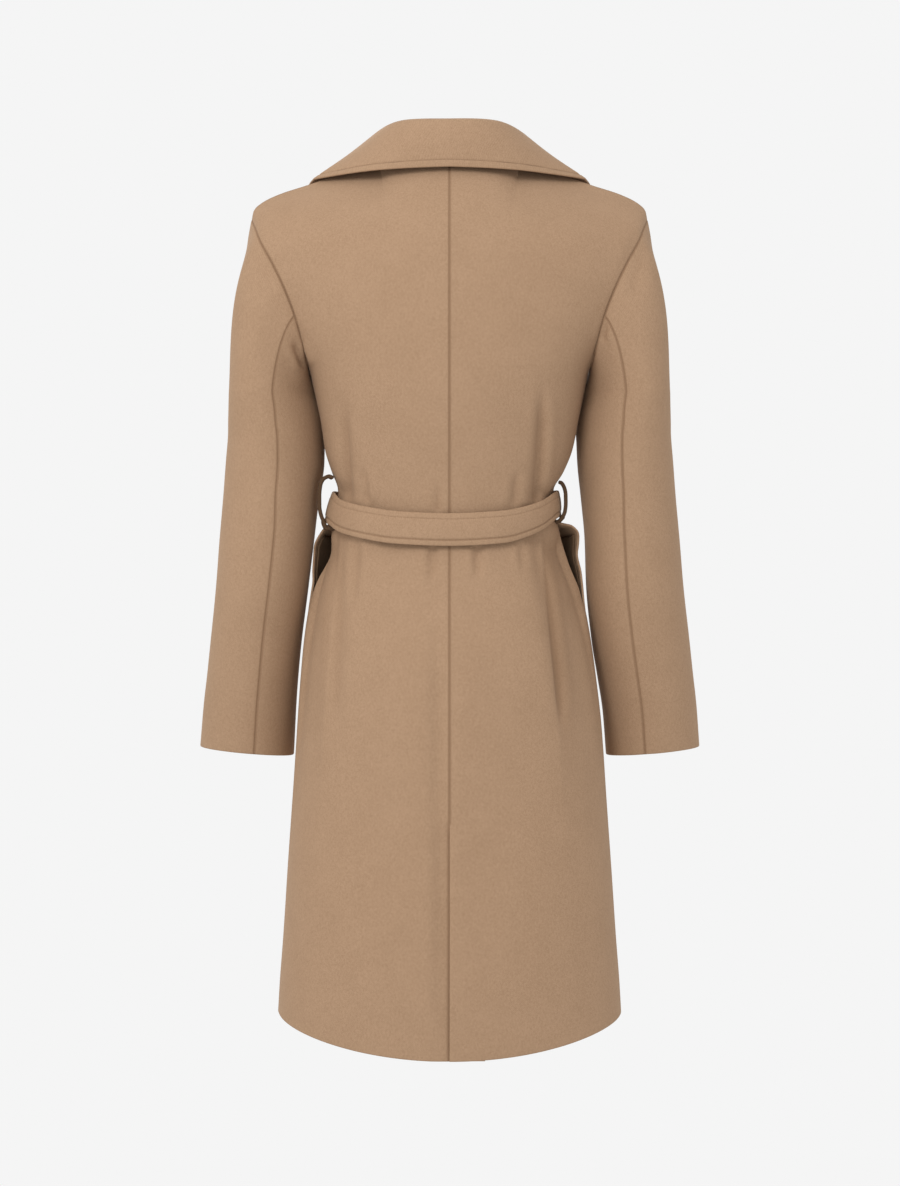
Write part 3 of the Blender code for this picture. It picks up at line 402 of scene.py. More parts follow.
# The small folds of the cloth as seen from behind (or from the front): each from its stronger end to where
# it fades, how far it bows, its width, its depth, and how much sharper its side is than its other side
FOLDS = (
    # face, x0, z0, x1, z1, bow, width, deep, sharp
    ("back", 109, -382, 115, -272, 0, 7, 3.6, 0.6),
    ("back", 90, -383, 94, -344, 0, 5, 2.8, 0.5),
    ("back", 12, -393, 11, -364, 0, 5, 2.2, 0.5),
    ("back", -94, -384, -100, -262, 2, 6, 5.4, 0.7),
    ("back", -70, -386, -73, -350, 0, 5, 2.6, 0.5),
    ("back", 120, -424, 124, -650, 0, 9, 3.2, 0.3),
    ("back", 102, -430, 104, -500, 0, 6, 3.0, 0.5),
    ("back", 18, -431, 19, -470, 0, 5, 2.2, 0.4),
    ("back", -29, -431, -30, -468, 0, 5, 2.1, 0.4),
    ("back", -77, -428, -80, -456, 0, 5, 2.0, 0.4),
    ("back", -122, -617, -97, -424, 3, 7, 4.2, 0.4),
    ("back", 150, -660, 161, -740, 2, 15, 0.9, 0.2),
    ("back", 176, -800, 158, -890, 0, 18, 0.8, 0.0),
    ("back", -60, -540, -66, -900, 0, 34, 0.9, 0.0),
    ("back", 66, -520, 74, -900, 0, 34, 0.9, 0.0),
    ("back", -208, -92, -196, -172, 0, 10, 2.4, 0.3),
    ("back", 10, -540, 9, -945, 0, 9, 2.2, 0.2),
    ("back", 157, -234, 168, -208, 0, 4.5, 6.0, 0.0),
    ("back", -166, -206, -171, -182, 0, 3.5, 4.5, 0.0),
    ("front", -22, -385, -70, -255, 3, 9, 2.2, 0.4),
    ("front", 20, -388, 66, -270, -3, 9, 1.8, 0.4),
    ("front", 60, -392, 118, -300, -4, 10, 2.0, 0.3),
    ("front", -62, -392, -112, -305, 4, 10, 1.9, 0.3),
    ("front", 40, -425, 64, -560, 3, 10, 2.4, 0.4),
    ("front", -44, -425, -74, -580, -3, 10, 2.2, 0.4),
    ("front", 96, -425, 112, -610, 3, 11, 2.0, 0.3),
    ("front", -98, -425, -116, -600, -3, 11, 2.0, 0.3),
)

# Where the back turns away towards a side: the line from its sharp end to where it fades, how far past it
# the cloth goes on turning, how deep, and how dark the painted shade is on the side turned from the light
TURNS = (
    # x0, z0, x1, z1, wide, deep, dark (painted shade)
    (121, -424, 150, -840, 28, 12.0, 0.3),
    (-100, -422, -134, -840, 34, 14.0, 0.55),
    (113, -382, 118, -262, 24, 2.5, 0.0),
    (-100, -383, -104, -262, 26, 3.0, 0.1),
)

# Slow waves of the whole cloth: how tall and how wide they are, how high, and which pattern
DRAPES = ((210, 90, 1.3, 3.1), (90, 50, 0.4, 7.7))

# How far the collar's end takes the line of the lapel's top edge
COLLAR_END = Table("place own", [(0.0, 0.0), (0.86, 0.0), (0.93, 0.25), (0.97, 0.65), (1.0, 1.0)])


def unit(vectors):
    """The vectors at length 1."""
    return vectors / np.maximum(np.linalg.norm(vectors, axis=-1, keepdims=True), 1e-12)


def blend(low, high, value):
    """0 at low, 1 at high, smooth between."""
    t = np.clip((value - low) / (high - low), 0.0, 1.0)
    return t * t * (3 - 2 * t)


def hill(value, centre, wide):
    """1 where the value is at the centre, falling to 0 over about this width."""
    return np.exp(-((value - centre) / wide) ** 2)


def run_along(points):
    """How far along its line each point is; a grid's lines run down it."""
    steps = np.linalg.norm(np.diff(points, axis=0), axis=-1)
    return np.concatenate([np.zeros((1, *steps.shape[1:])), np.cumsum(steps, axis=0)])


def places(lengths, start=False, end=False):
    """Places along intervals of these lengths, a mesh step apart, and closer at the ends asked for."""
    found = [0.0]
    for i, length in enumerate(lengths):
        count = max(1, int(np.ceil(length / MESH_STEP)))
        found += [i + (j + 1) / count for j in range(count)]
    last = len(lengths)
    near = [d / lengths[0] for d in EDGE_STEPS] if start else []
    near += [last - d / lengths[-1] for d in EDGE_STEPS] if end else []
    clear = EDGE_STEPS[-1] + EDGE_CLEAR
    low = clear / lengths[0] if start else 0
    high = last - clear / lengths[-1] if end else last
    return np.array(sorted([p for p in found if p in (0.0, last) or low <= p <= high] + near))


class Cloth:
    """A piece of cloth as a fine grid of points on its outer side, with the cells that are kept."""

    def __init__(self, name, grid, flip, keep=None, thick=CLOTH, sewn=True):
        self.name, self.thick, self.sewn = name, thick, sewn
        self.grid = np.array(grid, float)
        rows, columns = self.grid.shape[:2]
        index = np.arange(rows * columns).reshape(rows, columns)
        cells = np.stack([index[:-1, :-1], index[:-1, 1:], index[1:, 1:], index[1:, :-1]], axis=-1)
        cells = cells.reshape(-1, 4) if keep is None else cells[keep]
        self.cells = cells[:, ::-1] if flip else cells
        self.points = self.grid.reshape(-1, 3)
        self.used = np.unique(self.cells)
        # How much painted shade each point takes: darkening where shade falls in seams, creases, grooves and
        # turns
        self.painted_shade = np.zeros(len(self.points))
        self.groove = np.zeros(len(self.points))
        edges = np.concatenate([self.cells[:, [k, (k + 1) % 4]] for k in range(4)])
        size = rows * columns
        back = set((edges[:, 1] * size + edges[:, 0]).tolist())
        self.rim = np.array([edge for edge in edges.tolist() if edge[0] * size + edge[1] not in back])
        self.edges = edges

    def normals(self):
        """The outward normal at each point."""
        a, b, c, d = (self.points[self.cells[:, k]] for k in range(4))
        across = np.cross(c - a, d - b)
        total = np.zeros_like(self.points)
        for k in range(4):
            np.add.at(total, self.cells[:, k], across)
        return unit(total)

    def from_rim(self, which, reach=EDGE_REACH):
        """How far each point is from these rim points, along the cloth, up to about reach."""
        far = np.full(len(self.points), FAR)
        far[which] = 0.0
        a, b = self.edges.T
        length = np.linalg.norm(self.points[a] - self.points[b], axis=1)
        for _ in range(reach):
            np.minimum.at(far, b, far[a] + length)
            np.minimum.at(far, a, far[b] + length)
        return far

    def across(self):
        """How far across the piece each of its grid's points lies."""
        return run_along(self.grid.transpose(1, 0, 2)).T

    def tree(self):
        """A search tree over the outer side."""
        return BVHTree.FromPolygons([Vector(p) for p in self.points], self.cells.tolist())


def join_seams(cloths):
    """Finds the rim points that pieces share, where they are sewn."""
    rims = [(cloth, i) for cloth in cloths if cloth.sewn for i in np.unique(cloth.rim)]
    near = KDTree(len(rims))
    for k, (cloth, i) in enumerate(rims):
        near.insert(Vector(cloth.points[i]), k)
    near.balance()
    for cloth in cloths:
        cloth.shared = {}
    for cloth, i in rims:
        found = [rims[k] for _, k, _ in near.find_range(Vector(cloth.points[i]), SAME_POINT)]
        if len({id(other) for other, _ in found}) > 1:
            cloth.shared[i] = found


def seam_normals(cloths):
    """Each piece's normals, and at a seam the mean of the pieces that meet there."""
    for cloth in cloths:
        cloth.normal = cloth.normals()
    own = {id(cloth): cloth.normal.copy() for cloth in cloths}
    for cloth in cloths:
        for i, found in cloth.shared.items():
            cloth.normal[i] = unit(sum(own[id(other)][j] for other, j in found))


def crease(cloths):
    """Presses the small folds and the drape of the cloth into its pieces, and paints shade into the folds'
    troughs and past the back's turns.
    """
    seam_normals(cloths)
    for cloth in cloths:
        near = cloth.from_rim(np.array(sorted(cloth.shared), int))
        calm = SEAM_CALM + (1 - SEAM_CALM) * blend(0, CALM_WIDTH, near)
        small = folded(cloth.points, cloth.normal) * calm
        slow = draped(cloth.points)
        if cloth.name.startswith("back"):
            fall, shade = turned_away(cloth.points, cloth.normal)
            slow -= fall
            cloth.painted_shade += shade
        # Painted shade in the troughs of the small folds
        cloth.painted_shade += blend(*CREASE_SHADE_SPAN, -small) * CREASE_SHADE
        cloth.points += cloth.normal * (small + slow * calm - cloth.groove)[:, None]


def folded(points, normal):
    """How far the small folds lift the cloth at these points."""
    depth = np.zeros(len(points))
    x, y, z = points.T
    for face, x0, z0, x1, z1, bow, width, deep, sharp in FOLDS:
        facing = blend(*FACING, normal[:, 1] if face == "back" else -normal[:, 1])
        line = np.array([x1 - x0, z1 - z0])
        length = np.linalg.norm(line)
        along, aside = line / length, np.array([-line[1], line[0]]) / length
        t = ((x - x0) * along[0] + (z - z0) * along[1]) / length
        d = (x - x0) * aside[0] + (z - z0) * aside[1] - bow * 4 * t * (1 - t)
        narrow = np.where(d > 0, width * (1 - 0.5 * sharp), width)
        near, far = (blend(*fade, t) for fade in SMALL_FOLD_ENDS)
        banks = sum(high * hill(d, at * width, wide * width) for high, at, wide in FOLD_BANKS)
        depth += facing * near * far * deep * (banks - hill(d, 0, narrow))
    return depth


def turned_away(points, normal):
    """How far the back falls away past the lines where it turns to its sides, and the shade painted on the
    part that turns from the light.
    """
    fall, shade = np.zeros((2, len(points)))
    x, y, z = points.T
    back = blend(*TURN_FACING, normal[:, 1])
    for x0, z0, x1, z1, wide, deep, dark in TURNS:
        t = (z - z0) / (z1 - z0)
        past = np.maximum((x - x0 - (x1 - x0) * t) * np.sign(x0), 0.0)
        ramp = past / (past + wide * (TURN_SHARP + np.clip(t, 0, 1))) * blend(SIDE_KEPT, 0, past - wide)
        edge = blend(0, TURN_EDGE, past) * blend(*SHADE_PAST, past / wide)
        held = back * blend(*TURN_BEGIN, t)
        fall += held * deep * ramp * blend(*TURN_FADE, t)
        # Painted shade on the side that turns away from the light
        shade += held * dark * edge * blend(*SHADE_FADE, t)
    return fall, shade


def draped(points):
    """How far the slow waves of the cloth lift it at these points."""
    depth = np.zeros(len(points))
    for tall, wide, high, seed in DRAPES:
        depth += high * np.array([
            noise.noise(Vector((a / wide + seed, b / wide, c / tall))) for a, b, c in points
        ])
    return depth


def thin_walls(cloths):
    """Gives each piece its two sides: rolled at a free edge, and pressed together along a seam, with painted
    shade along the seam line.
    """
    seam_normals(cloths)
    for cloth in cloths:
        rim = np.unique(cloth.rim)
        sewn = np.array([i for i in rim if i in cloth.shared], int)
        free = np.array([i for i in rim if i not in cloth.shared], int)
        half = np.full(len(cloth.points), cloth.thick / 2)
        if len(free):
            inside = np.clip(cloth.from_rim(free) / EDGE_ROUND, 0, 1)
            half *= np.sqrt(np.maximum(1 - (1 - inside) ** 2, 0))
        if len(sewn):
            near = cloth.from_rim(sewn)
            half *= SEAM_PRESS + (1 - SEAM_PRESS) * blend(0, SEAM_WIDTH, near)
            # Painted shade: the cloth darkens towards the seam line, where shade falls in the seam
            cloth.painted_shade = np.maximum(cloth.painted_shade, 1 - blend(*SEAM_SHADE_SPAN, near))
        middle = cloth.points - cloth.normal * cloth.thick / 2
        cloth.outer = middle + cloth.normal * half[:, None]
        cloth.inner = middle - cloth.normal * half[:, None]
        cloth.free = set(free.tolist())


def cloth_piece(cloth, surface):
    """The finished piece of a cloth: one closed thin wall that stands for its solid."""
    used = cloth.used.tolist()
    outer = {i: k for k, i in enumerate(used)}
    inner = dict(outer)
    points = [cloth.outer[i] for i in used]
    source = list(used)
    for i in used:
        if i not in cloth.free:
            inner[i] = len(points)
            points.append(cloth.inner[i])
            source.append(i)
    faces = [[outer[i] for i in cell] for cell in cloth.cells.tolist()]
    faces += [[inner[i] for i in cell[::-1]] for cell in cloth.cells.tolist()]
    for a, b in cloth.rim.tolist():
        ring = [outer[b], outer[a], inner[a], inner[b]]
        ring = [k for n, k in enumerate(ring) if k not in ring[:n]]
        if len(ring) > 2:
            faces.append(ring)
    source = np.array(source)
    flat = np.stack([cloth.across(), run_along(cloth.grid)], axis=-1).reshape(-1, 2)[source] * MM
    return piece(cloth.name + "_cloth", points, faces, surface, cloth.name, flat, cloth.painted_shade[source])


def placed(name, data):
    """A new object of this data, in the scene."""
    made = bpy.data.objects.new(name, data)
    bpy.context.scene.collection.objects.link(made)
    return made


def on_coat(name, mesh):
    """A finished, smooth object of this mesh that rides on the coat."""
    mesh.shade_smooth()
    made = placed(name, mesh)
    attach(made, "root")
    return made


def piece(name, points, faces, surface, solid, flat=None, painted_shade=None):
    """A finished object of these points, in millimetres, that stands for its solid."""
    mesh = bpy.data.meshes.new(name)
    mesh.from_pydata((np.array(points) * MM).tolist(), [], faces)
    mesh.materials.append(surface)
    if flat is not None:
        lay = mesh.uv_layers.new(name="cloth_flat")
        corner = np.zeros(len(mesh.loops), int)
        mesh.loops.foreach_get("vertex_index", corner)
        lay.data.foreach_set("uv", flat[corner].astype(np.float32).reshape(-1))
    # The painted shade of each point, read by the wool's colour
    shade = mesh.attributes.new("painted_shade", "FLOAT", "POINT")
    shade.data.foreach_set("value", (np.zeros(len(points)) if painted_shade is None else painted_shade).astype(np.float32))
    mesh.validate()
    made = on_coat(name, mesh)
    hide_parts(solid)
    return made


def top_weight(z):
    """How far a row takes the shape of the shoulder seam instead of its own curve."""
    return np.clip((z - GORGE_Z) / (ROW_Z[-1] - GORGE_Z), 0.0, 1.0) ** TOP_POWER


def row_point(angle, turn, x, y, z, centre_y, centre_z, side):
    """A point of a body row: the row runs from its centre to its outer end x, y, z as it turns."""
    share = (1 - np.cos(angle)) / (1 - np.cos(turn))
    across = np.sin(angle) / np.sin(turn)
    fall = share + HEM_CURVE * blend(HEM_CURVE_TOP, ROW_Z[0], z) * (across ** 2 - share)
    return np.array([side * x * across, centre_y + (y - centre_y) * share, centre_z + (z - centre_z) * fall])


def outer_end(z, side, panel):
    """Where a row of the back or the front ends: on the side seam, or above it on the armhole."""
    if z <= UNDERARM_Z:
        return SIDE_SEAM.at(z, WORD[side], "y")
    return ARMHOLE.at(z, panel + "_x", panel + "_y")


def arc(z, side, panel, first, shares):
    """A row of the back or the front on its own curve, from angle first (0) to its outer end (1)."""
    x, y = outer_end(z, side, panel)
    centre_z, centre_y, turn = (BACK if panel == "back" else FRONT).at(z, "centre_z", "centre_y", "turn")
    turn = np.radians(turn)
    low, high = EASED
    eased = y
    if low < z < high:
        t = blend(low, high, z)
        eased = SIDE_SEAM.at(low, "y") * (1 - t) + ARMHOLE.at(high, panel + "_y") * t
    row = np.array([
        row_point(first + (turn - first) * s, turn, x, eased, z, centre_y, centre_z, side) for s in shares
    ])
    row[:, 1] += (y - eased) * shares ** EASED_POWER
    return row


def top_line(side, columns):
    """The neckline from the centre back to the side neck point, and on along the shoulder seam."""
    neck_x, neck_y, neck_z = SHOULDER.rows[0, 1:]
    centre_y, centre_z = BACK.at(ROW_Z[-1], "centre_y", "centre_z")
    line = []
    for k in columns:
        if k < NECK_STEPS:
            a = np.radians(90) * k / NECK_STEPS
            line.append((
                side * neck_x * np.sin(a), neck_y + (centre_y - neck_y) * np.cos(a),
                centre_z + (neck_z - centre_z) * (1 - np.cos(a)),
            ))
        else:
            x, y, z = SHOULDER.at((k - NECK_STEPS) / SHOULDER_STEPS, "x", "y", "z")
            line.append((side * x, y, z))
    return np.array(line)


def back_row(z, side, columns):
    """The points of a back row, from the centre back out."""
    shares = columns / BACK_STEPS
    plain = arc(ROW_Z[-1], side, "back", 0.0, shares)
    return arc(z, side, "back", 0.0, shares) + top_weight(z) * (top_line(side, columns) - plain)


def front_arc(z, side, shares):
    """A front row on its own curve; share 0 is the front edge or roll line."""
    x, _ = outer_end(z, side, "front")
    turn, edge = FRONT.at(z, "turn", "edge_x")
    return arc(z, side, "front", np.arcsin(edge * np.sin(np.radians(turn)) / x), shares)


def front_row(z, side, columns):
    """The points of a front row, from its outer end to the front edge or roll line."""
    shares = 1 - columns / SHOULDER_STEPS
    real = top_line(side, BACK_STEPS - columns)
    row = front_arc(z, side, shares) + top_weight(z) * (real - front_arc(ROW_Z[-1], side, shares))
    if side == RIGHT:
        x, _ = outer_end(z, side, "front")
        begin = abs(FRONT.at(z, "edge_x")) + OVERLAP_PAST_EDGE
        finish = min(begin + OVERLAP_RUN, x - OVERLAP_PAST_EDGE)
        row[:, 1] -= OVERLAP.at(z, "out") * (1 - blend(begin, finish, side * row[:, 0]))
    if POCKET_GAPE.rows[0, 0] < z < POCKET_GAPE.rows[-1, 0]:
        out, forward = POCKET_GAPE.at(z, "out_" + WORD[side], "forward")
        near = np.clip(1 - columns / POCKET_REACH, 0, 1) ** GAPE_POWER
        row[:, 0] += side * out * near
        row[:, 1] -= forward * near
    return row


def fold_depth(x, z):
    """How far the back's large folds push its surface in or out at x, z."""
    total = np.zeros_like(x)
    for x_belt, z_belt, x_far, z_far, width, depth in BACK_FOLDS:
        t = (z - z_belt) / (z_far - z_belt)
        line = x_belt + (x_far - x_belt) * t
        d = (x - line) / width
        near, far = (blend(*fade, t) for fade in BACK_FOLD_ENDS)
        total += near * far * depth * (BANK_HIGH * hill(d, np.sign(line) * BANK_AT, 1) - hill(d, 0, 1))
    return total


def grid_places():
    """The rows and columns of the body's fine grids, the same on every piece so that seams meet."""
    whole = np.arange(BACK_STEPS + 1.0)
    backs = np.array([[back_row(z, side, whole) for z in ROW_Z] for side in (LEFT, RIGHT)])
    whole = np.arange(SHOULDER_STEPS + 1.0)
    fronts = np.array([[front_row(z, side, whole) for z in ROW_Z] for side in (LEFT, RIGHT)])
    step = [np.linalg.norm(np.diff(grid, axis=1), axis=-1).max(axis=(0, 2)) for grid in (backs, fronts)]
    rows = places(np.maximum(*step), start=True, end=True)
    seam = ROW_Z.index(SLEEVE_SEAM_Z)
    ahead, behind = np.maximum(*step)[seam], np.maximum(*step)[seam - 1]
    close = [seam + d / ahead for d in EDGE_STEPS[:-1]] + [seam - d / behind for d in EDGE_STEPS[:-1]]
    rows = np.unique(np.round(np.concatenate([rows, close]), 6))
    wide = [np.linalg.norm(np.diff(grid, axis=2), axis=-1).max(axis=(0, 1)) for grid in (backs, fronts)]
    neck = places(wide[0][:NECK_STEPS], start=True)
    shoulder = places(np.maximum(wide[0][NECK_STEPS:], wide[1][::-1]), start=True, end=True)
    return rows, np.concatenate([neck[:-1], NECK_STEPS + shoulder]), (SHOULDER_STEPS - shoulder)[::-1]


def back_cloth(side):
    """One back panel, with the vent's underlap in one with the left one."""
    rows = np.array([back_row(z, side, BACK_COLUMNS) for z in LEVELS])
    out = unit((rows - (0, BELT_AXIS_Y, 0)) * (1, 1, 0))
    ends = np.minimum(1.0, np.minimum(BACK_COLUMNS, BACK_STEPS - BACK_COLUMNS) / FOLD_ENDS)
    rows += out * (fold_depth(rows[..., 0], rows[..., 2]) * ends)[..., None]
    ease_underarm(rows, BACK_COLUMNS / BACK_STEPS)
    if side == RIGHT:
        return Cloth("back_right", rows, flip=False)
    low = np.clip((VENT_TOP_Z - LEVELS) / VENT_EASE, 0, 1)
    near = np.clip(1 - BACK_COLUMNS, 0, 1)
    rows += low[:, None, None] * near[None, :, None] * np.array([VENT_PART, -VENT_DIP, 0])
    drop = UNDERLAP_DROP - VENT_DIP
    under = np.stack([
        rows[:, 0] * (0, 1, 1) + (x, -drop - UNDERLAP_SLOPE * abs(x), 0) for x in UNDERLAP
    ], axis=1)
    rows = np.concatenate([under, rows], axis=1)
    keep = np.ones(np.array(rows.shape[:2]) - 1, bool)
    keep[LEVELS[1:] > VENT_TOP_Z + SAME_LEVEL, :len(UNDERLAP)] = False
    cloth = Cloth("back_left", rows, flip=True, keep=keep)
    # Painted shadow: the left panel darkens towards the vent's edge, where the right panel overlaps it
    from_edge = abs(rows[..., 0]) + FAR * (LEVELS > VENT_TOP_Z)[:, None]
    cloth.painted_shade = blend(VENT_SHADOW_WIDTH, 0, from_edge).reshape(-1)
    return cloth


def ease_underarm(grid, shares):
    """Lets the cloth run smoothly from the armhole's foot into the side, between edges that stay."""
    tall = blend(UNDERARM_EASE, UNDERARM_FLAT, abs(LEVELS - UNDERARM_Z))
    wide = blend(*UNDERARM_SIDE, shares) * (shares < 1)
    share = tall[:, None] * wide[None, :]
    for _ in range(UNDERARM_PASSES):
        ease_rows(grid, 0.5 * share)
        ease_rows(grid.transpose(1, 0, 2), 0.5 * share.T)


def surface_y(tree, x, z):
    """The y of the outermost cloth in front at x, z."""
    hit = tree.ray_cast(Vector((x, -OUTSIDE, z)), Vector((0, 1, 0)))[0]
    return (hit or tree.find_nearest(Vector((x, FRONT.at(z, "centre_y"), z)))[0]).y


def front_cloth(side):
    """One front, with its lapel folded back over the chest from the break to the gorge."""
    rows = np.array([front_row(z, side, FRONT_COLUMNS) for z in LEVELS])
    ease_underarm(rows, 1 - FRONT_COLUMNS / SHOULDER_STEPS)
    chest = Cloth("chest", rows, flip=side == LEFT)
    tree = chest.tree()
    main = rows.shape[1]
    turns = np.radians(np.linspace(0, 180, LAPEL_TURNS + 1)[1:])
    across = places([LAPEL.rows[:, 1].max()], end=True)[1:]
    rows = np.concatenate([rows, np.repeat(rows[:, -1:], len(turns) + len(across), axis=1)], axis=1)
    has_lapel = (LEVELS >= BREAK_Z - SAME_LEVEL) & (LEVELS <= GORGE_Z + SAME_LEVEL)
    for r in np.flatnonzero(has_lapel):
        roll = rows[r, main - 1].copy()
        for k, a in enumerate(turns):
            rows[r, main + k] = roll - FOLD_RADIUS * np.array([side * np.sin(a), 1 - np.cos(a), 0])
        turned = rows[r, main + len(turns) - 1, 1]
        width, drop = LAPEL.at(LEVELS[r], "width", "drop")
        for k, q in enumerate(across):
            x, low = roll[0] + side * width * q, roll[2] - drop * q
            settle = blend(0, LAPEL_SETTLE, q)
            y = (surface_y(tree, x, low) - 2 * FOLD_RADIUS) * settle + turned * (1 - settle) - LAPEL_LIFT * q
            rows[r, main + len(turns) + k] = (x, y, low)
    keep = np.ones(np.array(rows.shape[:2]) - 1, bool)
    keep[~(has_lapel[1:] & has_lapel[:-1]), main - 1:] = False
    cloth = Cloth("front_" + WORD[side], rows, flip=side == LEFT, keep=keep)
    cloth.main, cloth.chest = main, chest
    cloth.gorge = int(np.flatnonzero(has_lapel)[-1])
    cloth.lapel_share = np.concatenate([np.zeros(len(turns) + 1), across])
    return cloth


def sleeve_section(z, angle, side):
    """Points round the sleeve at this height; the angle runs from the back by way of the outside."""
    outer, inner, mid_y, depth, tilt, lean = SLEEVE.at(
        z, "outer", "inner_" + WORD[side], "mid_y", "depth", "tilt", "lean"
    )
    y = depth / 2 * np.cos(angle)
    x = (outer - inner) / 2 * np.sin(angle) + lean * y
    drop = tilt * (CUFF_TILT_BACK * y - CUFF_TILT_IN * x)
    return np.stack([side * ((outer + inner) / 2 + x), mid_y + y, z - drop], axis=-1)


def sleeve_cloth(name, armhole, less, side, flip):
    """A sleeve piece hung from these armhole points, between its two seams; less turns it the other way."""
    share = run_along(armhole)
    share /= share[-1]

    def angles(z):
        back, front = SLEEVE.at(z, "back_seam", "front_seam")
        return np.radians(back + (front - less - back) * share)

    levels = places(np.diff(SLEEVE_Z), start=True)
    heights = np.interp(levels, np.arange(len(SLEEVE_Z)), SLEEVE_Z)
    rows = np.array([sleeve_section(z, angles(z), side) for z in heights])
    out, down = SLEEVE_HEAD.at(armhole[:, 2], "out", "down")
    span = np.linalg.norm(armhole - rows[-1], axis=1)[:, None]
    leave = span * np.stack([side * out, SLEEVE_BACK * np.cos(angles(heights[-1])), -down], axis=-1)
    arrive = span * (side * SLEEVE_FLARE, 0, -SLEEVE_ARRIVE)
    cap = places([CAP_LENGTH], end=True)[1:, None, None]
    return Cloth(name, np.concatenate([rows, bent(armhole, leave, rows[-1], arrive, 1 - cap)]), flip)


def sleeves(side, back, front):
    """The upper and the under sleeve, sewn to the armhole edges of the back and the front."""
    under = int(np.argmin(abs(ROWS - ROW_Z.index(UNDERARM_Z))))
    seam = int(np.argmin(abs(ROWS - ROW_Z.index(SLEEVE_SEAM_Z))))
    behind, ahead = back.grid[:, -1], front.grid[:, 0]
    over_arm = np.concatenate([behind[seam:], ahead[seam:-1][::-1]])
    under_arm = np.concatenate([behind[under:seam + 1][::-1], ahead[under + 1:seam + 1]])
    return [
        sleeve_cloth("sleeve_upper_" + WORD[side], over_arm, 0, side, flip=side == LEFT),
        sleeve_cloth("sleeve_under_" + WORD[side], under_arm, 360, side, flip=side == RIGHT),
    ]


def pushed_out(points, tree, gap, pull=False):
    """The points, each moved off the surface until it is this far outside it, or pulled back to that."""
    moved = []
    for p in points:
        near, normal, _, _ = tree.find_nearest(Vector(p))
        short = gap - (Vector(p) - near).dot(normal)
        moved.append(p + np.array(normal) * (short if pull else max(short, 0.0)))
    return np.array(moved)


def lapel_top(front, side):
    """The line just above a lapel's top edge, from the roll line to where the collar's end stops."""
    top = front.grid[front.gorge, front.main - 1:]
    stop = int(np.searchsorted(front.lapel_share, GORGE_SHARE))
    return top[:stop + 1] + GORGE_GAP * unit(np.array([side * 0.5, 0.0, 0.87]))


def collar_column(start, place, side, body, across):
    """One column of the collar, from the neckline over its fold to its outer edge."""
    knots = [start]
    for part in ("fold", "fall", "edge"):
        knots.append(COLLAR.at(place, part + "_x", part + "_y", part + "_z") * np.array([side, 1, 1]))
    column = np.stack([curve(np.array(COLLAR_KNOTS), axis, across) for axis in np.array(knots).T], axis=-1)
    fall = across > COLLAR_FALL
    column[fall] = pushed_out(column[fall], body, REST_GAP)
    return column


def ease_rows(grid, share):
    """Draws each inner point of a grid's rows towards the line between its neighbours, or away from it."""
    step = np.linalg.norm(np.diff(grid, axis=1), axis=2, keepdims=True)
    before, after = step[:, :-1], step[:, 1:]
    line = (grid[:, :-2] * after + grid[:, 2:] * before) / (before + after)
    grid[:, 1:-1] += share[:, 1:-1, None] * (line - grid[:, 1:-1])


def collar_cloth(backs, fronts, body):
    """Stand and fall in one, sewn to the neckline and ending on the lapels' gorge line."""
    across = places([COLLAR_DEEP], start=True, end=True)
    across = np.unique([*across, *(1 - np.arange(*COLLAR_STITCH_ROWS) / COLLAR_DEEP)])
    halves = {}
    for side in (RIGHT, LEFT):
        count = int(np.flatnonzero(BACK_COLUMNS == NECK_STEPS)[0])
        behind = backs[side].grid[-1, -len(BACK_COLUMNS):][:count]
        ahead = fronts[side].grid[fronts[side].gorge:, fronts[side].main - 1][::-1]
        from_top = len(ROW_Z) - 1 - ROWS[fronts[side].gorge:][::-1]
        reached = [*BACK_COLUMNS[:count] / NECK_STEPS * NECK_POINT_PLACE]
        reached += [*NECK_POINT_PLACE + (1 - NECK_POINT_PLACE) * from_top / from_top[-1]]
        starts = [*behind, *ahead]
        line = lapel_top(fronts[side], side)
        length = run_along(line)
        last = np.stack([np.interp(across * length[-1], length, axis) for axis in line.T], axis=-1)
        halves[side] = []
        for start, place in zip(starts, reached):
            own = COLLAR_END.at(place, "own")
            column = collar_column(start, place, side, body, across) * (1 - own)
            column += (last + (start - starts[-1])) * own
            column[0] = start
            halves[side].append(column)
    grid = np.stack(halves[RIGHT][::-1] + halves[LEFT][1:], axis=1)
    own = COLLAR_END.at(reached, "own")
    inner = 1 - np.concatenate([own[::-1], own[1:]])
    loose = blend(0, COLLAR_HELD, across)[:, None] * blend(0, 1, inner)[None, :]
    for _ in range(COLLAR_PASSES):
        ease_rows(grid, 0.5 * loose)
    free = across > COLLAR_FALL
    for k in range(grid.shape[1]):
        grid[free, k] = pushed_out(grid[free, k], body, REST_GAP)
    cloth = Cloth("collar", grid, flip=True)
    cloth.from_edge = run_along(grid[::-1])[::-1]
    # The topstitch groove, with painted shade along it
    line = hill(cloth.from_edge, TOPSTITCH_IN, STITCH_WIDE).reshape(-1)
    cloth.groove, cloth.painted_shade = -STITCH_SINK * line, STITCH_SHADE * line
    return cloth


def strap_places():
    """Places across a strap, closer at its edges and at its two rows of topstitching."""
    beside = (BELT_STITCH_IN + np.array(BESIDE_STITCH)) / BELT_HEIGHT
    plain = places([BELT_HEIGHT], start=True, end=True)
    from_line = abs(np.minimum(plain, 1 - plain) - BELT_STITCH_IN / BELT_HEIGHT)
    return np.unique(np.round([*plain[from_line > BESIDE_CLEAR], *beside, *(1 - beside)], 6))


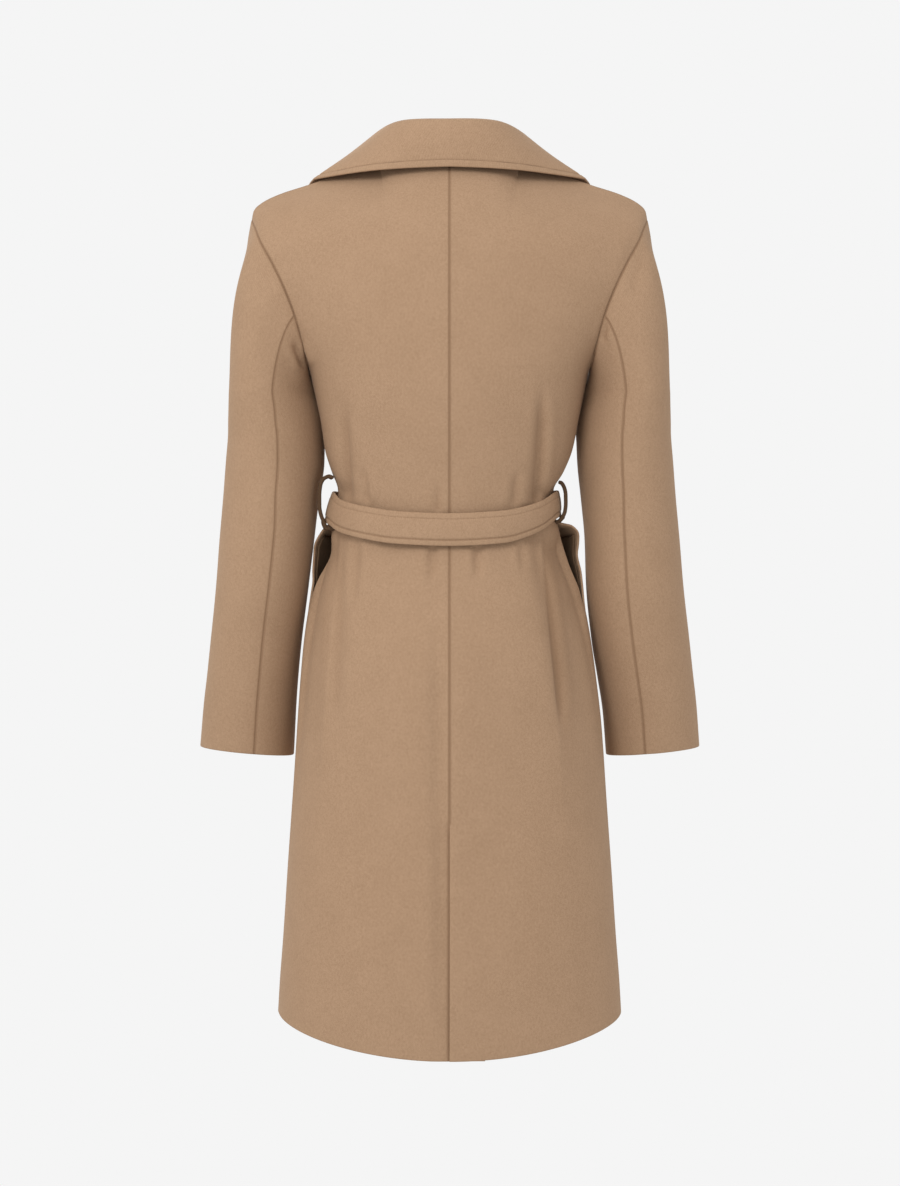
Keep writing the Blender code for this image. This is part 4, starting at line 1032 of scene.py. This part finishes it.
def strip(name, centre, across, half, thick):
    """A flat strap along a fine centre line, reaching half to each side of it."""
    side = strap_places() * 2 - 1
    centre, across = np.array(centre), np.array(across, float) * np.reshape(half, (-1, 1))
    grid = centre[:, None, :] + across[:, None, :] * side[None, :, None]
    return Cloth(name, grid, flip=False, thick=thick, sewn=False)


def line_at(distance, away, grid):
    """The line over a grid's rows where they are this far from their start."""
    return np.array([[np.interp(distance, d, axis) for axis in row.T] for d, row in zip(away, grid)])


def sink_topstitch(strap):
    """A groove along both long edges of a strap, where its topstitching pulls it in, with painted shade in
    it; gives its two lines.
    """
    start = strap.across()
    end = start[:, -1:] - start
    first, second = (hill(away, BELT_STITCH_IN, STITCH_WIDE).reshape(-1) for away in (start, end))
    line = FIRST_STITCH_SHARE * first + second
    # Painted shade in the topstitch grooves
    strap.groove, strap.painted_shade = STITCH_SINK * line, STITCH_SHADE * line
    strap.points -= strap.normals() * strap.groove[:, None]
    return [
        line_at(BELT_STITCH_IN, start, strap.grid), line_at(BELT_STITCH_IN, end[:, ::-1], strap.grid[:, ::-1])
    ]


def belt_reach(angle, middle, heights, body):
    """How far the cloth under the belt reaches from its axis, at these heights above the belt's middle."""
    out = Vector((np.sin(angle), np.cos(angle), 0))
    side = Vector((out.y, -out.x, 0))
    reach = 0.0
    for height in heights:
        for aside in BELT_SPREAD:
            axis = Vector((0, BELT_AXIS_Y, middle + height))
            hit = body.ray_cast(axis + out * OUTSIDE + side * aside, -out)[0]
            reach = max(reach, (hit - axis).dot(out))
    return reach


def taut(reach):
    """A smooth line of radii that nowhere cuts into these."""
    line = np.max([np.roll(reach, k) for k in (-1, 0, 1)], axis=0)
    for _ in range(4):
        line = np.maximum((np.roll(line, 1) + 2 * line + np.roll(line, -1)) / 4, reach)
    return line


def smooth_line(points, count, closed=False):
    """A smooth curve through these points, with count steps between each two."""
    points = np.array(points, float)
    if closed:
        before, after = points[-2:-1], points[1:2]
    else:
        before, after = 2 * points[:1] - points[1:2], 2 * points[-1:] - points[-2:-1]
    line = np.concatenate([before, points, after])
    found = []
    for i in range(1, len(line) - 2):
        a, b, c, d = line[i - 1:i + 3]
        for t in np.arange(count) / count:
            found.append(bent(b, (c - a) / 2, c, (d - b) / 2, t))
    return np.array([*found, points[-1]])


def belt_cloth(body):
    """The band round the waist. Its two ends meet behind the knot."""
    angles = np.radians(np.linspace(KNOT_ANGLE - 0.1, KNOT_ANGLE - 359.9, BELT_STEPS + 1))
    middle, tall = BELT_LINE.at((np.degrees(angles) + 180) % 360 - 180, "z", "tall")
    out = np.stack([np.sin(angles), np.cos(angles), 0 * angles], axis=-1)
    edges = []
    for place in (0.5, -0.5):
        probes = place * tall[:, None] * BELT_PROBES
        reach = taut(np.array([belt_reach(a, z, near, body) for a, z, near in zip(angles, middle, probes)]))
        column = out * (reach + REST_GAP + BELT_THICK)[:, None]
        column[:, 1] += BELT_AXIS_Y
        column[:, 2] = middle + place * tall
        edges.append(smooth_line(column, BELT_FINE, closed=True))
    top, bottom = edges
    across = strap_places()
    grid = top[:, None] * (1 - across[None, :, None]) + bottom[:, None] * across[None, :, None]
    away = unit((grid - (0, BELT_AXIS_Y, 0)) * (1, 1, 0))
    grid += away * (BELT_PUFF * (4 * across * (1 - across)) ** PUFF_POWER)[None, :, None]
    cloth = Cloth("belt_band", grid, flip=False, thick=BELT_THICK, sewn=False)
    return cloth, (top[0] + bottom[0]) / 2


def belt_loop(side, under):
    """A narrow loop by the side seam that stands off the belt, clear of the cloth and belt under it."""
    route = np.array(LOOP_ROUTE[side], float)
    length = run_along(route)
    fine = np.linspace(0, length[-1], LOOP_STEPS + 1)
    x, z = (curve(length, axis, fine) for axis in route.T)
    centre = np.stack([side * x, np.full_like(x, LOOP_Y), z], axis=-1)
    across = np.array([0, -side * LOOP_WIDTH / 2, 0]) * np.array(LOOP_ACROSS)[None, :, None]
    loop = Cloth("belt_loop_" + WORD[side], centre[:, None] + across, False, thick=LOOP_THICK, sewn=False)
    for _ in range(2):
        loop.points[:] = pushed_out(loop.points, under, LOOP_GAP + LOOP_THICK)
    for k, share in enumerate(LOOP_ENDS):
        for row in (loop.grid[k], loop.grid[-1 - k]):
            row[:] = row * (1 - share) + pushed_out(row, under, LOOP_SEAT, pull=True) * share
    # Painted shade over the whole loop
    loop.painted_shade[:] = 1.0
    return loop


def knot_form(centre):
    """The tied knot: a soft lump of the belt, with the turn of cloth that goes over it."""
    around, up = KNOT_STEPS
    points = [(0, 0, -1)]
    for b in np.pi * (np.arange(1, up) / up - 0.5):
        ring, rise = np.cos(b) ** KNOT_TAPER, np.sign(b) * abs(np.sin(b)) ** KNOT_FLAT
        for a in 2 * np.pi * np.arange(around) / around:
            c, s = (np.sign(v) * abs(v) ** KNOT_ROUND * ring for v in (np.cos(a), np.sin(a)))
            points.append((c, s, rise))
    points.append((0, 0, 1))
    faces = []
    for i in range(around):
        beside = (i + 1) % around
        column = 1 + np.arange(up - 1) * around
        low, high = column[:-1].tolist(), column[1:].tolist()
        faces += [[0, 1 + beside, 1 + i], [high[-1] + i, high[-1] + beside, len(points) - 1]]
        faces += [[a + i, a + beside, b + beside, b + i] for a, b in zip(low, high)]
    points = np.array(points)
    x, y, z = points.T
    front = blend(*KNOT_FRONT, -y)
    over, across = x * KNOT_LEAN[0] + z * KNOT_LEAN[1], x * KNOT_LEAN[1] - z * KNOT_LEAN[0]
    edge, tuck, side = (
        deep * sum(hill(value, centre_line, wide) for centre_line in lines)
        for value, (lines, wide, deep) in ((over, KNOT_EDGES), (over, KNOT_TUCKS), (across, KNOT_SIDES))
    )
    fall = edge + tuck + blend(*KNOT_BESIDE, abs(over)) * side + KNOT_TURN_HIGH * blend(*KNOT_TURN, abs(over))
    return points * (1 - front * fall)[:, None] * KNOT_HALF + centre, faces


def tail(name, knot_centre, lump, body):
    """A hanging end of the belt: it leaves the underside of the knot gathered, and lies down the skirt."""
    start_x, drift, length, forward, gap = TAILS[name]
    start = Vector((knot_centre[0] + start_x, knot_centre[1] + forward, knot_centre[2] - OUTSIDE))
    half = BELT_HEIGHT / 2
    reach = half * TAIL_GATHER
    top = min(
        lump.ray_cast(start + Vector((dx, dy, 0)), Vector((0, 0, 1)))[0].z
        for dx in np.linspace(-reach, reach, TAIL_STEPS) for dy in (0, TAIL_THICK / 2, TAIL_THICK)
    )
    down = np.arange(TAIL_STEPS + 1) / TAIL_STEPS
    x = start.x + drift * down ** TAIL_DRIFT
    z = top - length * down
    y = np.array([min(surface_y(body, a + dx, b) for dx in (-half, 0, half)) for a, b in zip(x, z)])
    y -= gap + TAIL_THICK
    for _ in range(2):
        y[1:-1] = np.minimum((y[:-2] + y[2:]) / 2, y[1:-1])
    hang = blend(0, TAIL_LEAVE, length * down)
    y = start.y * (1 - hang) + y * hang
    wide = half * (TAIL_GATHER + (1 - TAIL_GATHER) * hang)
    fine = smooth_line(np.stack([x, y, z, wide], axis=-1)[::-1], TAIL_FINE)
    fine = np.insert(fine, 1, [fine[0] * (1 - s) + fine[1] * s for s in TAIL_CLOSE], axis=0)
    return strip(name, fine[:, :3], [(1, 0, 0)] * len(fine), fine[:, 3], TAIL_THICK)


def pocket_cloth(side, front):
    """A bag inside the front: one layer against it and one towards the body, joined at the far edge."""
    first, seat, last = (
        int(np.argmin(abs(FRONT_COLUMNS - place))) for place in (POCKET_MOUTH, POCKET_INSIDE, POCKET_REACH)
    )
    normal = front.normals().reshape(front.grid.shape)
    ramp = np.interp(np.arange(first, last + 1), (first, seat, last), (0, 1, 1))
    near = (CLOTH + POCKET_SEAT + (POCKET_GAP - POCKET_SEAT) * ramp)[:, None]
    sheet = []
    for i in np.flatnonzero((LEVELS >= POCKET_BOTTOM_Z) & (LEVELS <= POCKET_TOP_Z)):
        from_end = min(LEVELS[i] - POCKET_BOTTOM_Z, POCKET_ROUND) / POCKET_ROUND
        depth = POCKET_SHUT + (POCKET_OPEN - POCKET_SHUT) * from_end ** 0.5
        cloth, inward = front.grid[i, first:last + 1], -normal[i, first:last + 1]
        middle = cloth[-1] + inward[-1] * (near[-1] + depth / 2)
        ahead = unit(front.grid[i, last + 1] - cloth[-1])
        turn = np.radians(np.linspace(-60, 60, POCKET_TURNS))[:, None]
        sheet.append(np.concatenate([
            cloth + inward * near,
            middle + (ahead * np.cos(turn) + inward[-1] * np.sin(turn)) * depth / 2,
            (cloth + inward * (CLOTH + POCKET_GAP + depth))[::-1],
        ]))
    return Cloth("pocket_" + WORD[side], sheet, flip=side == LEFT, thick=POCKET_CLOTH, sewn=False)


def joined_tree(cloths):
    """One search tree over the outer sides of several pieces."""
    points, cells = [], []
    for cloth in cloths:
        start = len(points)
        points += [Vector(p) for p in cloth.points]
        cells += (cloth.cells + start).tolist()
    return BVHTree.FromPolygons(points, cells)


class Shade:
    """A socket of a node tree, so that shader maths reads as plain expressions."""

    def __init__(self, tree, socket):
        self.tree, self.socket = tree, socket

    def math(self, operation, other):
        return node(self.tree, "ShaderNodeMath", {"operation": operation}, self, other)

    def __add__(self, other):
        return self.math("ADD", other)

    def __sub__(self, other):
        return self.math("SUBTRACT", other)

    def __mul__(self, other):
        return self.math("MULTIPLY", other)

    __radd__, __rmul__ = __add__, __mul__


def node(tree, kind, settings, *values, take=0, **named):
    """A node with these settings, and values or links in its sockets, by order or by name."""
    made = tree.nodes.new(kind)
    for key, value in settings.items():
        setattr(made, key, value)
    pairs = [(made.inputs[k], value) for k, value in enumerate(values)]
    pairs += [(made.inputs[key], value) for key, value in named.items()]
    for socket, value in pairs:
        if isinstance(value, Shade):
            tree.links.new(value.socket, socket)
        else:
            socket.default_value = value
    return Shade(tree, made.outputs[take])


def noise_at(tree, place, scale, detail, rough):
    """Soft noise at this scale."""
    return node(tree, "ShaderNodeTexNoise", {}, place, Scale=scale, Detail=detail, Roughness=rough)


def blended(tree, share, low, high):
    """A colour between two."""
    made = tree.nodes.new("ShaderNodeMix")
    made.data_type, made.clamp_factor = "RGBA", True
    tree.links.new(share.socket, made.inputs["Factor"])
    for name, value in (("A", low), ("B", high)):
        socket = next(s for s in made.inputs if s.name == name and s.type == "RGBA")
        if isinstance(value, Shade):
            tree.links.new(value.socket, socket)
        else:
            socket.default_value = (*value, 1)
    return Shade(tree, next(s for s in made.outputs if s.type == "RGBA"))


def set_inputs(shader, values):
    """Constant values, set on a shader's own sockets."""
    for name, value in values.items():
        shader.inputs[name].default_value = value


def wool(name, dark, light, painted_shade_colour, nap=1.0, sheen=0.07):
    """Felted wool coating: a short nap combed down over a faint twill, with lighter and darker fibres,
    darkened further by the shade painted into the cloth's points.
    """
    made = bpy.data.materials.new(name)
    made.use_nodes = True
    tree = made.node_tree
    shader = tree.nodes["Principled BSDF"]
    place = node(tree, "ShaderNodeTexCoord", {}, take=3)
    combed = node(tree, "ShaderNodeMapping", {"vector_type": "POINT"}, place, Scale=(1, 1, NAP_COMBED))
    flat = node(tree, "ShaderNodeUVMap", {"uv_map": "cloth_flat"})
    aslant = (0, 0, np.radians(TWILL_TURN))
    turned = node(tree, "ShaderNodeMapping", {"vector_type": "POINT"}, flat, Rotation=aslant)
    clouds = noise_at(tree, place, CLOUD_SCALE, 3, 0.55)
    clumps = noise_at(tree, combed, CLUMP_SCALE, 3, 0.6)
    hairs = noise_at(tree, combed, HAIR_SCALE, 2, 0.6)
    twill = node(
        tree, "ShaderNodeTexWave", {"wave_type": "BANDS", "bands_direction": "X"}, turned,
        **{"Scale": TWILL_SCALE, "Distortion": 1.4, "Detail": 1.0, "Detail Scale": 2.0}, take=1
    )
    # Painted shade: the points' shade value darkens the fibres' colour towards the shade colour
    painted_shade = node(tree, "ShaderNodeAttribute", {"attribute_name": "painted_shade"}, take=2)
    darker = node(
        tree, "ShaderNodeMapRange", {"interpolation_type": "SMOOTHSTEP"}, painted_shade,
        **{"From Min": 0.0, "From Max": 1.0}
    )
    tone = 0.5 + (clouds - 0.5) * CLOUD_TONE + (clumps - 0.5) * CLUMP_TONE * nap
    tone = tone + (hairs - 0.5) * HAIR_TONE * nap + (twill - 0.5) * TWILL_TONE
    colour = blended(tree, darker * PAINTED_SHADE_STRENGTH, blended(tree, tone, dark, light), painted_shade_colour)
    tree.links.new(colour.socket, shader.inputs["Base Color"])
    rough = ROUGH + (clumps - 0.5) * ROUGH_CLUMPS
    tree.links.new(rough.socket, shader.inputs["Roughness"])
    height = clumps * CLUMP_HIGH + hairs * HAIR_HIGH + twill * TWILL_HIGH
    bump = node(tree, "ShaderNodeBump", {}, Strength=BUMP * nap, Distance=0.5 * MM, Height=height)
    tree.links.new(bump.socket, shader.inputs["Normal"])
    set_inputs(shader, {
        "Sheen Weight": sheen, "Sheen Roughness": 0.45, "Sheen Tint": (1.0, 0.86, 0.7, 1),
        "Specular IOR Level": 0.12,
    })
    return made


def stitch_tree():
    """Geometry nodes that lay stitches along lines: pitch, length, thickness and material."""
    tree = bpy.data.node_groups.new("stitches", "GeometryNodeTree")
    for name, kind in (
        ("Lines", "NodeSocketGeometry"), ("Pitch", "NodeSocketFloat"), ("Stitch length", "NodeSocketFloat"),
        ("Thread", "NodeSocketFloat"), ("Material", "NodeSocketMaterial"),
    ):
        tree.interface.new_socket(name, in_out="INPUT", socket_type=kind)
    tree.interface.new_socket("Stitches", in_out="OUTPUT", socket_type="NodeSocketGeometry")
    given = tree.nodes.new("NodeGroupInput")

    def take(name):
        return Shade(tree, given.outputs[name])

    curves = node(tree, "GeometryNodeMeshToCurve", {}, take("Lines"))
    spaced = node(tree, "GeometryNodeResampleCurve", {"mode": "LENGTH"}, curves, Length=take("Pitch"))
    tangent = node(tree, "GeometryNodeInputTangent", {})
    turn = node(tree, "FunctionNodeAlignRotationToVector", {"axis": "Z"}, Vector=tangent)
    ball = node(tree, "GeometryNodeMeshUVSphere", {}, Segments=8, Rings=6, Radius=0.5)
    size = node(tree, "ShaderNodeCombineXYZ", {}, take("Thread"), take("Thread"), take("Stitch length"))
    stand = {"Points": spaced, "Instance": ball, "Rotation": turn, "Scale": size}
    laid = node(tree, "GeometryNodeInstanceOnPoints", {}, **stand)
    real = node(tree, "GeometryNodeRealizeInstances", {}, laid)
    done = node(tree, "GeometryNodeSetMaterial", {}, real, Material=take("Material"))
    out = tree.nodes.new("NodeGroupOutput")
    tree.links.new(done.socket, out.inputs[0])
    return tree


def stitches(name, lines, tree, thread):
    """Rows of stitches along these lines, as one plain mesh."""
    points, edges = [], []
    for line in lines:
        edges += [(len(points) + k, len(points) + k + 1) for k in range(len(line) - 1)]
        points += (np.array(line) * MM).tolist()
    mesh = bpy.data.meshes.new(name + "_lines")
    mesh.from_pydata(points, edges, [])
    guide = placed(name + "_lines", mesh)
    layer = guide.modifiers.new("stitches", "NODES")
    layer.node_group = tree
    wanted = {"Pitch": STITCH_PITCH * MM, "Stitch length": STITCH_LONG * MM, "Thread": THREAD * MM}
    wanted["Material"] = thread
    for item in tree.interface.items_tree:
        if item.item_type == "SOCKET" and item.in_out == "INPUT" and item.name in wanted:
            layer[item.identifier] = wanted[item.name]
    seen = guide.evaluated_get(bpy.context.evaluated_depsgraph_get())
    real = bpy.data.meshes.new_from_object(seen)
    guide.modifiers.remove(layer)
    bpy.data.objects.remove(guide)
    on_coat(name, real)


def studio():
    """A pale floor and backdrop, soft light and the camera behind the coat."""
    scene = bpy.context.scene
    scene.world = bpy.data.worlds.new("studio")
    scene.world.use_nodes = True
    set_inputs(scene.world.node_tree.nodes["Background"], {"Color": (*PALE, 1), "Strength": 1.0})
    mesh = bpy.data.meshes.new("floor")
    corners = [(a * FLOOR_REACH, b * FLOOR_REACH, FLOOR_Z) for a, b in ((-1, -1), (1, -1), (1, 1), (-1, 1))]
    mesh.from_pydata(corners, [], [(0, 1, 2, 3)])
    floor = placed("floor", mesh)
    pale = bpy.data.materials.new("pale_floor")
    pale.use_nodes = True
    set_inputs(pale.node_tree.nodes["Principled BSDF"], {
        "Base Color": (0.0, 0.0, 0.0, 1), "Roughness": 1.0, "Specular IOR Level": 0.0,
        "Emission Color": (*PALE, 1), "Emission Strength": 1.0,
    })
    mesh.materials.append(pale)
    for name, place, aim, size, power in LIGHTS:
        light = bpy.data.lights.new(name, "AREA")
        light.shape, light.size, light.energy = "SQUARE", size, power
        made = placed(name, light)
        made.location = place
        made.rotation_euler = (Vector(aim) - Vector(place)).to_track_quat("-Z", "Y").to_euler()
    data = bpy.data.cameras.new("camera")
    data.sensor_fit, data.sensor_height = "VERTICAL", 36.0
    data.lens = data.sensor_height * CAMERA_AWAY / FRAME_TALL
    scene.camera = placed("camera", data)
    scene.camera.location = (CAMERA_X, CAMERA_AWAY, CAMERA_Z)
    scene.camera.rotation_euler = (np.pi / 2, 0, np.pi)
    scene.view_settings.view_transform = "Standard"


def flat_size(cloth):
    """The size a piece was cut to: across and along its grid at their widest, and its area."""
    a, b, c, d = (cloth.points[cloth.cells[:, k]] for k in range(4))
    area = np.linalg.norm(np.cross(c - a, d - b), axis=1).sum() / 2
    return cloth.across()[:, -1].max() * MM, run_along(cloth.grid)[-1].max() * MM, area * MM * MM


def dress(cloths, surface):
    """Makes the finished pieces of these cloths, and works out the size each one was cut to, which is not
    used further.
    """
    for cloth in cloths:
        made = cloth_piece(cloth, surface)
        width, length, area = flat_size(cloth)


def make_coat():
    """The coat's shell, then its belt, loops and pockets, and the topstitching."""
    backs = {side: back_cloth(side) for side in (LEFT, RIGHT)}
    fronts = {side: front_cloth(side) for side in (LEFT, RIGHT)}
    shell = [*backs.values(), *fronts.values()]
    for side in (LEFT, RIGHT):
        shell += sleeves(side, backs[side], fronts[side])
    bare = joined_tree([*backs.values(), *(fronts[side].chest for side in fronts)])
    collar = collar_cloth(backs, fronts, bare)
    shell.append(collar)
    join_seams(shell)
    crease(shell)
    thin_walls(shell)
    body = joined_tree(shell[:4])
    band, front_middle = belt_cloth(body)
    centre = front_middle - (0, KNOT_HALF[1] + REST_GAP, 0)
    under = joined_tree([*shell[:4], band])
    loops = [belt_loop(side, under) for side in (LEFT, RIGHT)]
    points, faces = knot_form(centre)
    lump = BVHTree.FromPolygons([Vector(p) for p in points], faces)
    tails = [tail(name, centre, lump, body) for name in TAILS]
    pockets = [pocket_cloth(side, fronts[side]) for side in (LEFT, RIGHT)]

    belt_wool = wool("belt_wool", *CAMEL_TONES)
    thread = wool("thread", *THREAD_TONES, nap=0.2, sheen=0.1)
    dress(shell, wool("camel_wool", *CAMEL_TONES))
    lines = [line for strap in (band, *tails) for line in sink_topstitch(strap)]
    added = [band, *loops, *tails, *pockets]
    join_seams(added)
    thin_walls(added)
    dress([band], belt_wool)
    # The loops get wool painted with shade
    dress(loops, wool("loop_shaded_wool", *LOOP_SHADED_TONES))
    dress(tails, belt_wool)
    dress(pockets, wool("pocket_lining", *LINING_TONES, nap=0.4, sheen=0.05))
    piece("belt_knot_cloth", points, faces, belt_wool, "belt_knot")
    tree = stitch_tree()
    stitches("belt_stitches", lines, tree, thread)
    columns = collar.inner.reshape(collar.grid.shape).transpose(1, 0, 2)
    line = line_at(TOPSTITCH_IN, collar.from_edge.T[:, ::-1], columns[:, ::-1])
    stitches("collar_stitches", [line], tree, thread)


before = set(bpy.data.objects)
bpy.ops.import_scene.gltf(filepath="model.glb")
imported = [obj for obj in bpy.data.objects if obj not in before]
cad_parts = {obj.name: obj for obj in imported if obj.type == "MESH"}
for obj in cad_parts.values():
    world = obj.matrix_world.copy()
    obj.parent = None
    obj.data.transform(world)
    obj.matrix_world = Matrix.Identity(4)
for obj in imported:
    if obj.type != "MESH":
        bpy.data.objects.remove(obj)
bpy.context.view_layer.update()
ROWS, BACK_COLUMNS, FRONT_COLUMNS = grid_places()
LEVELS = np.interp(ROWS, np.arange(len(ROW_Z)), ROW_Z)
make_coat()
studio()
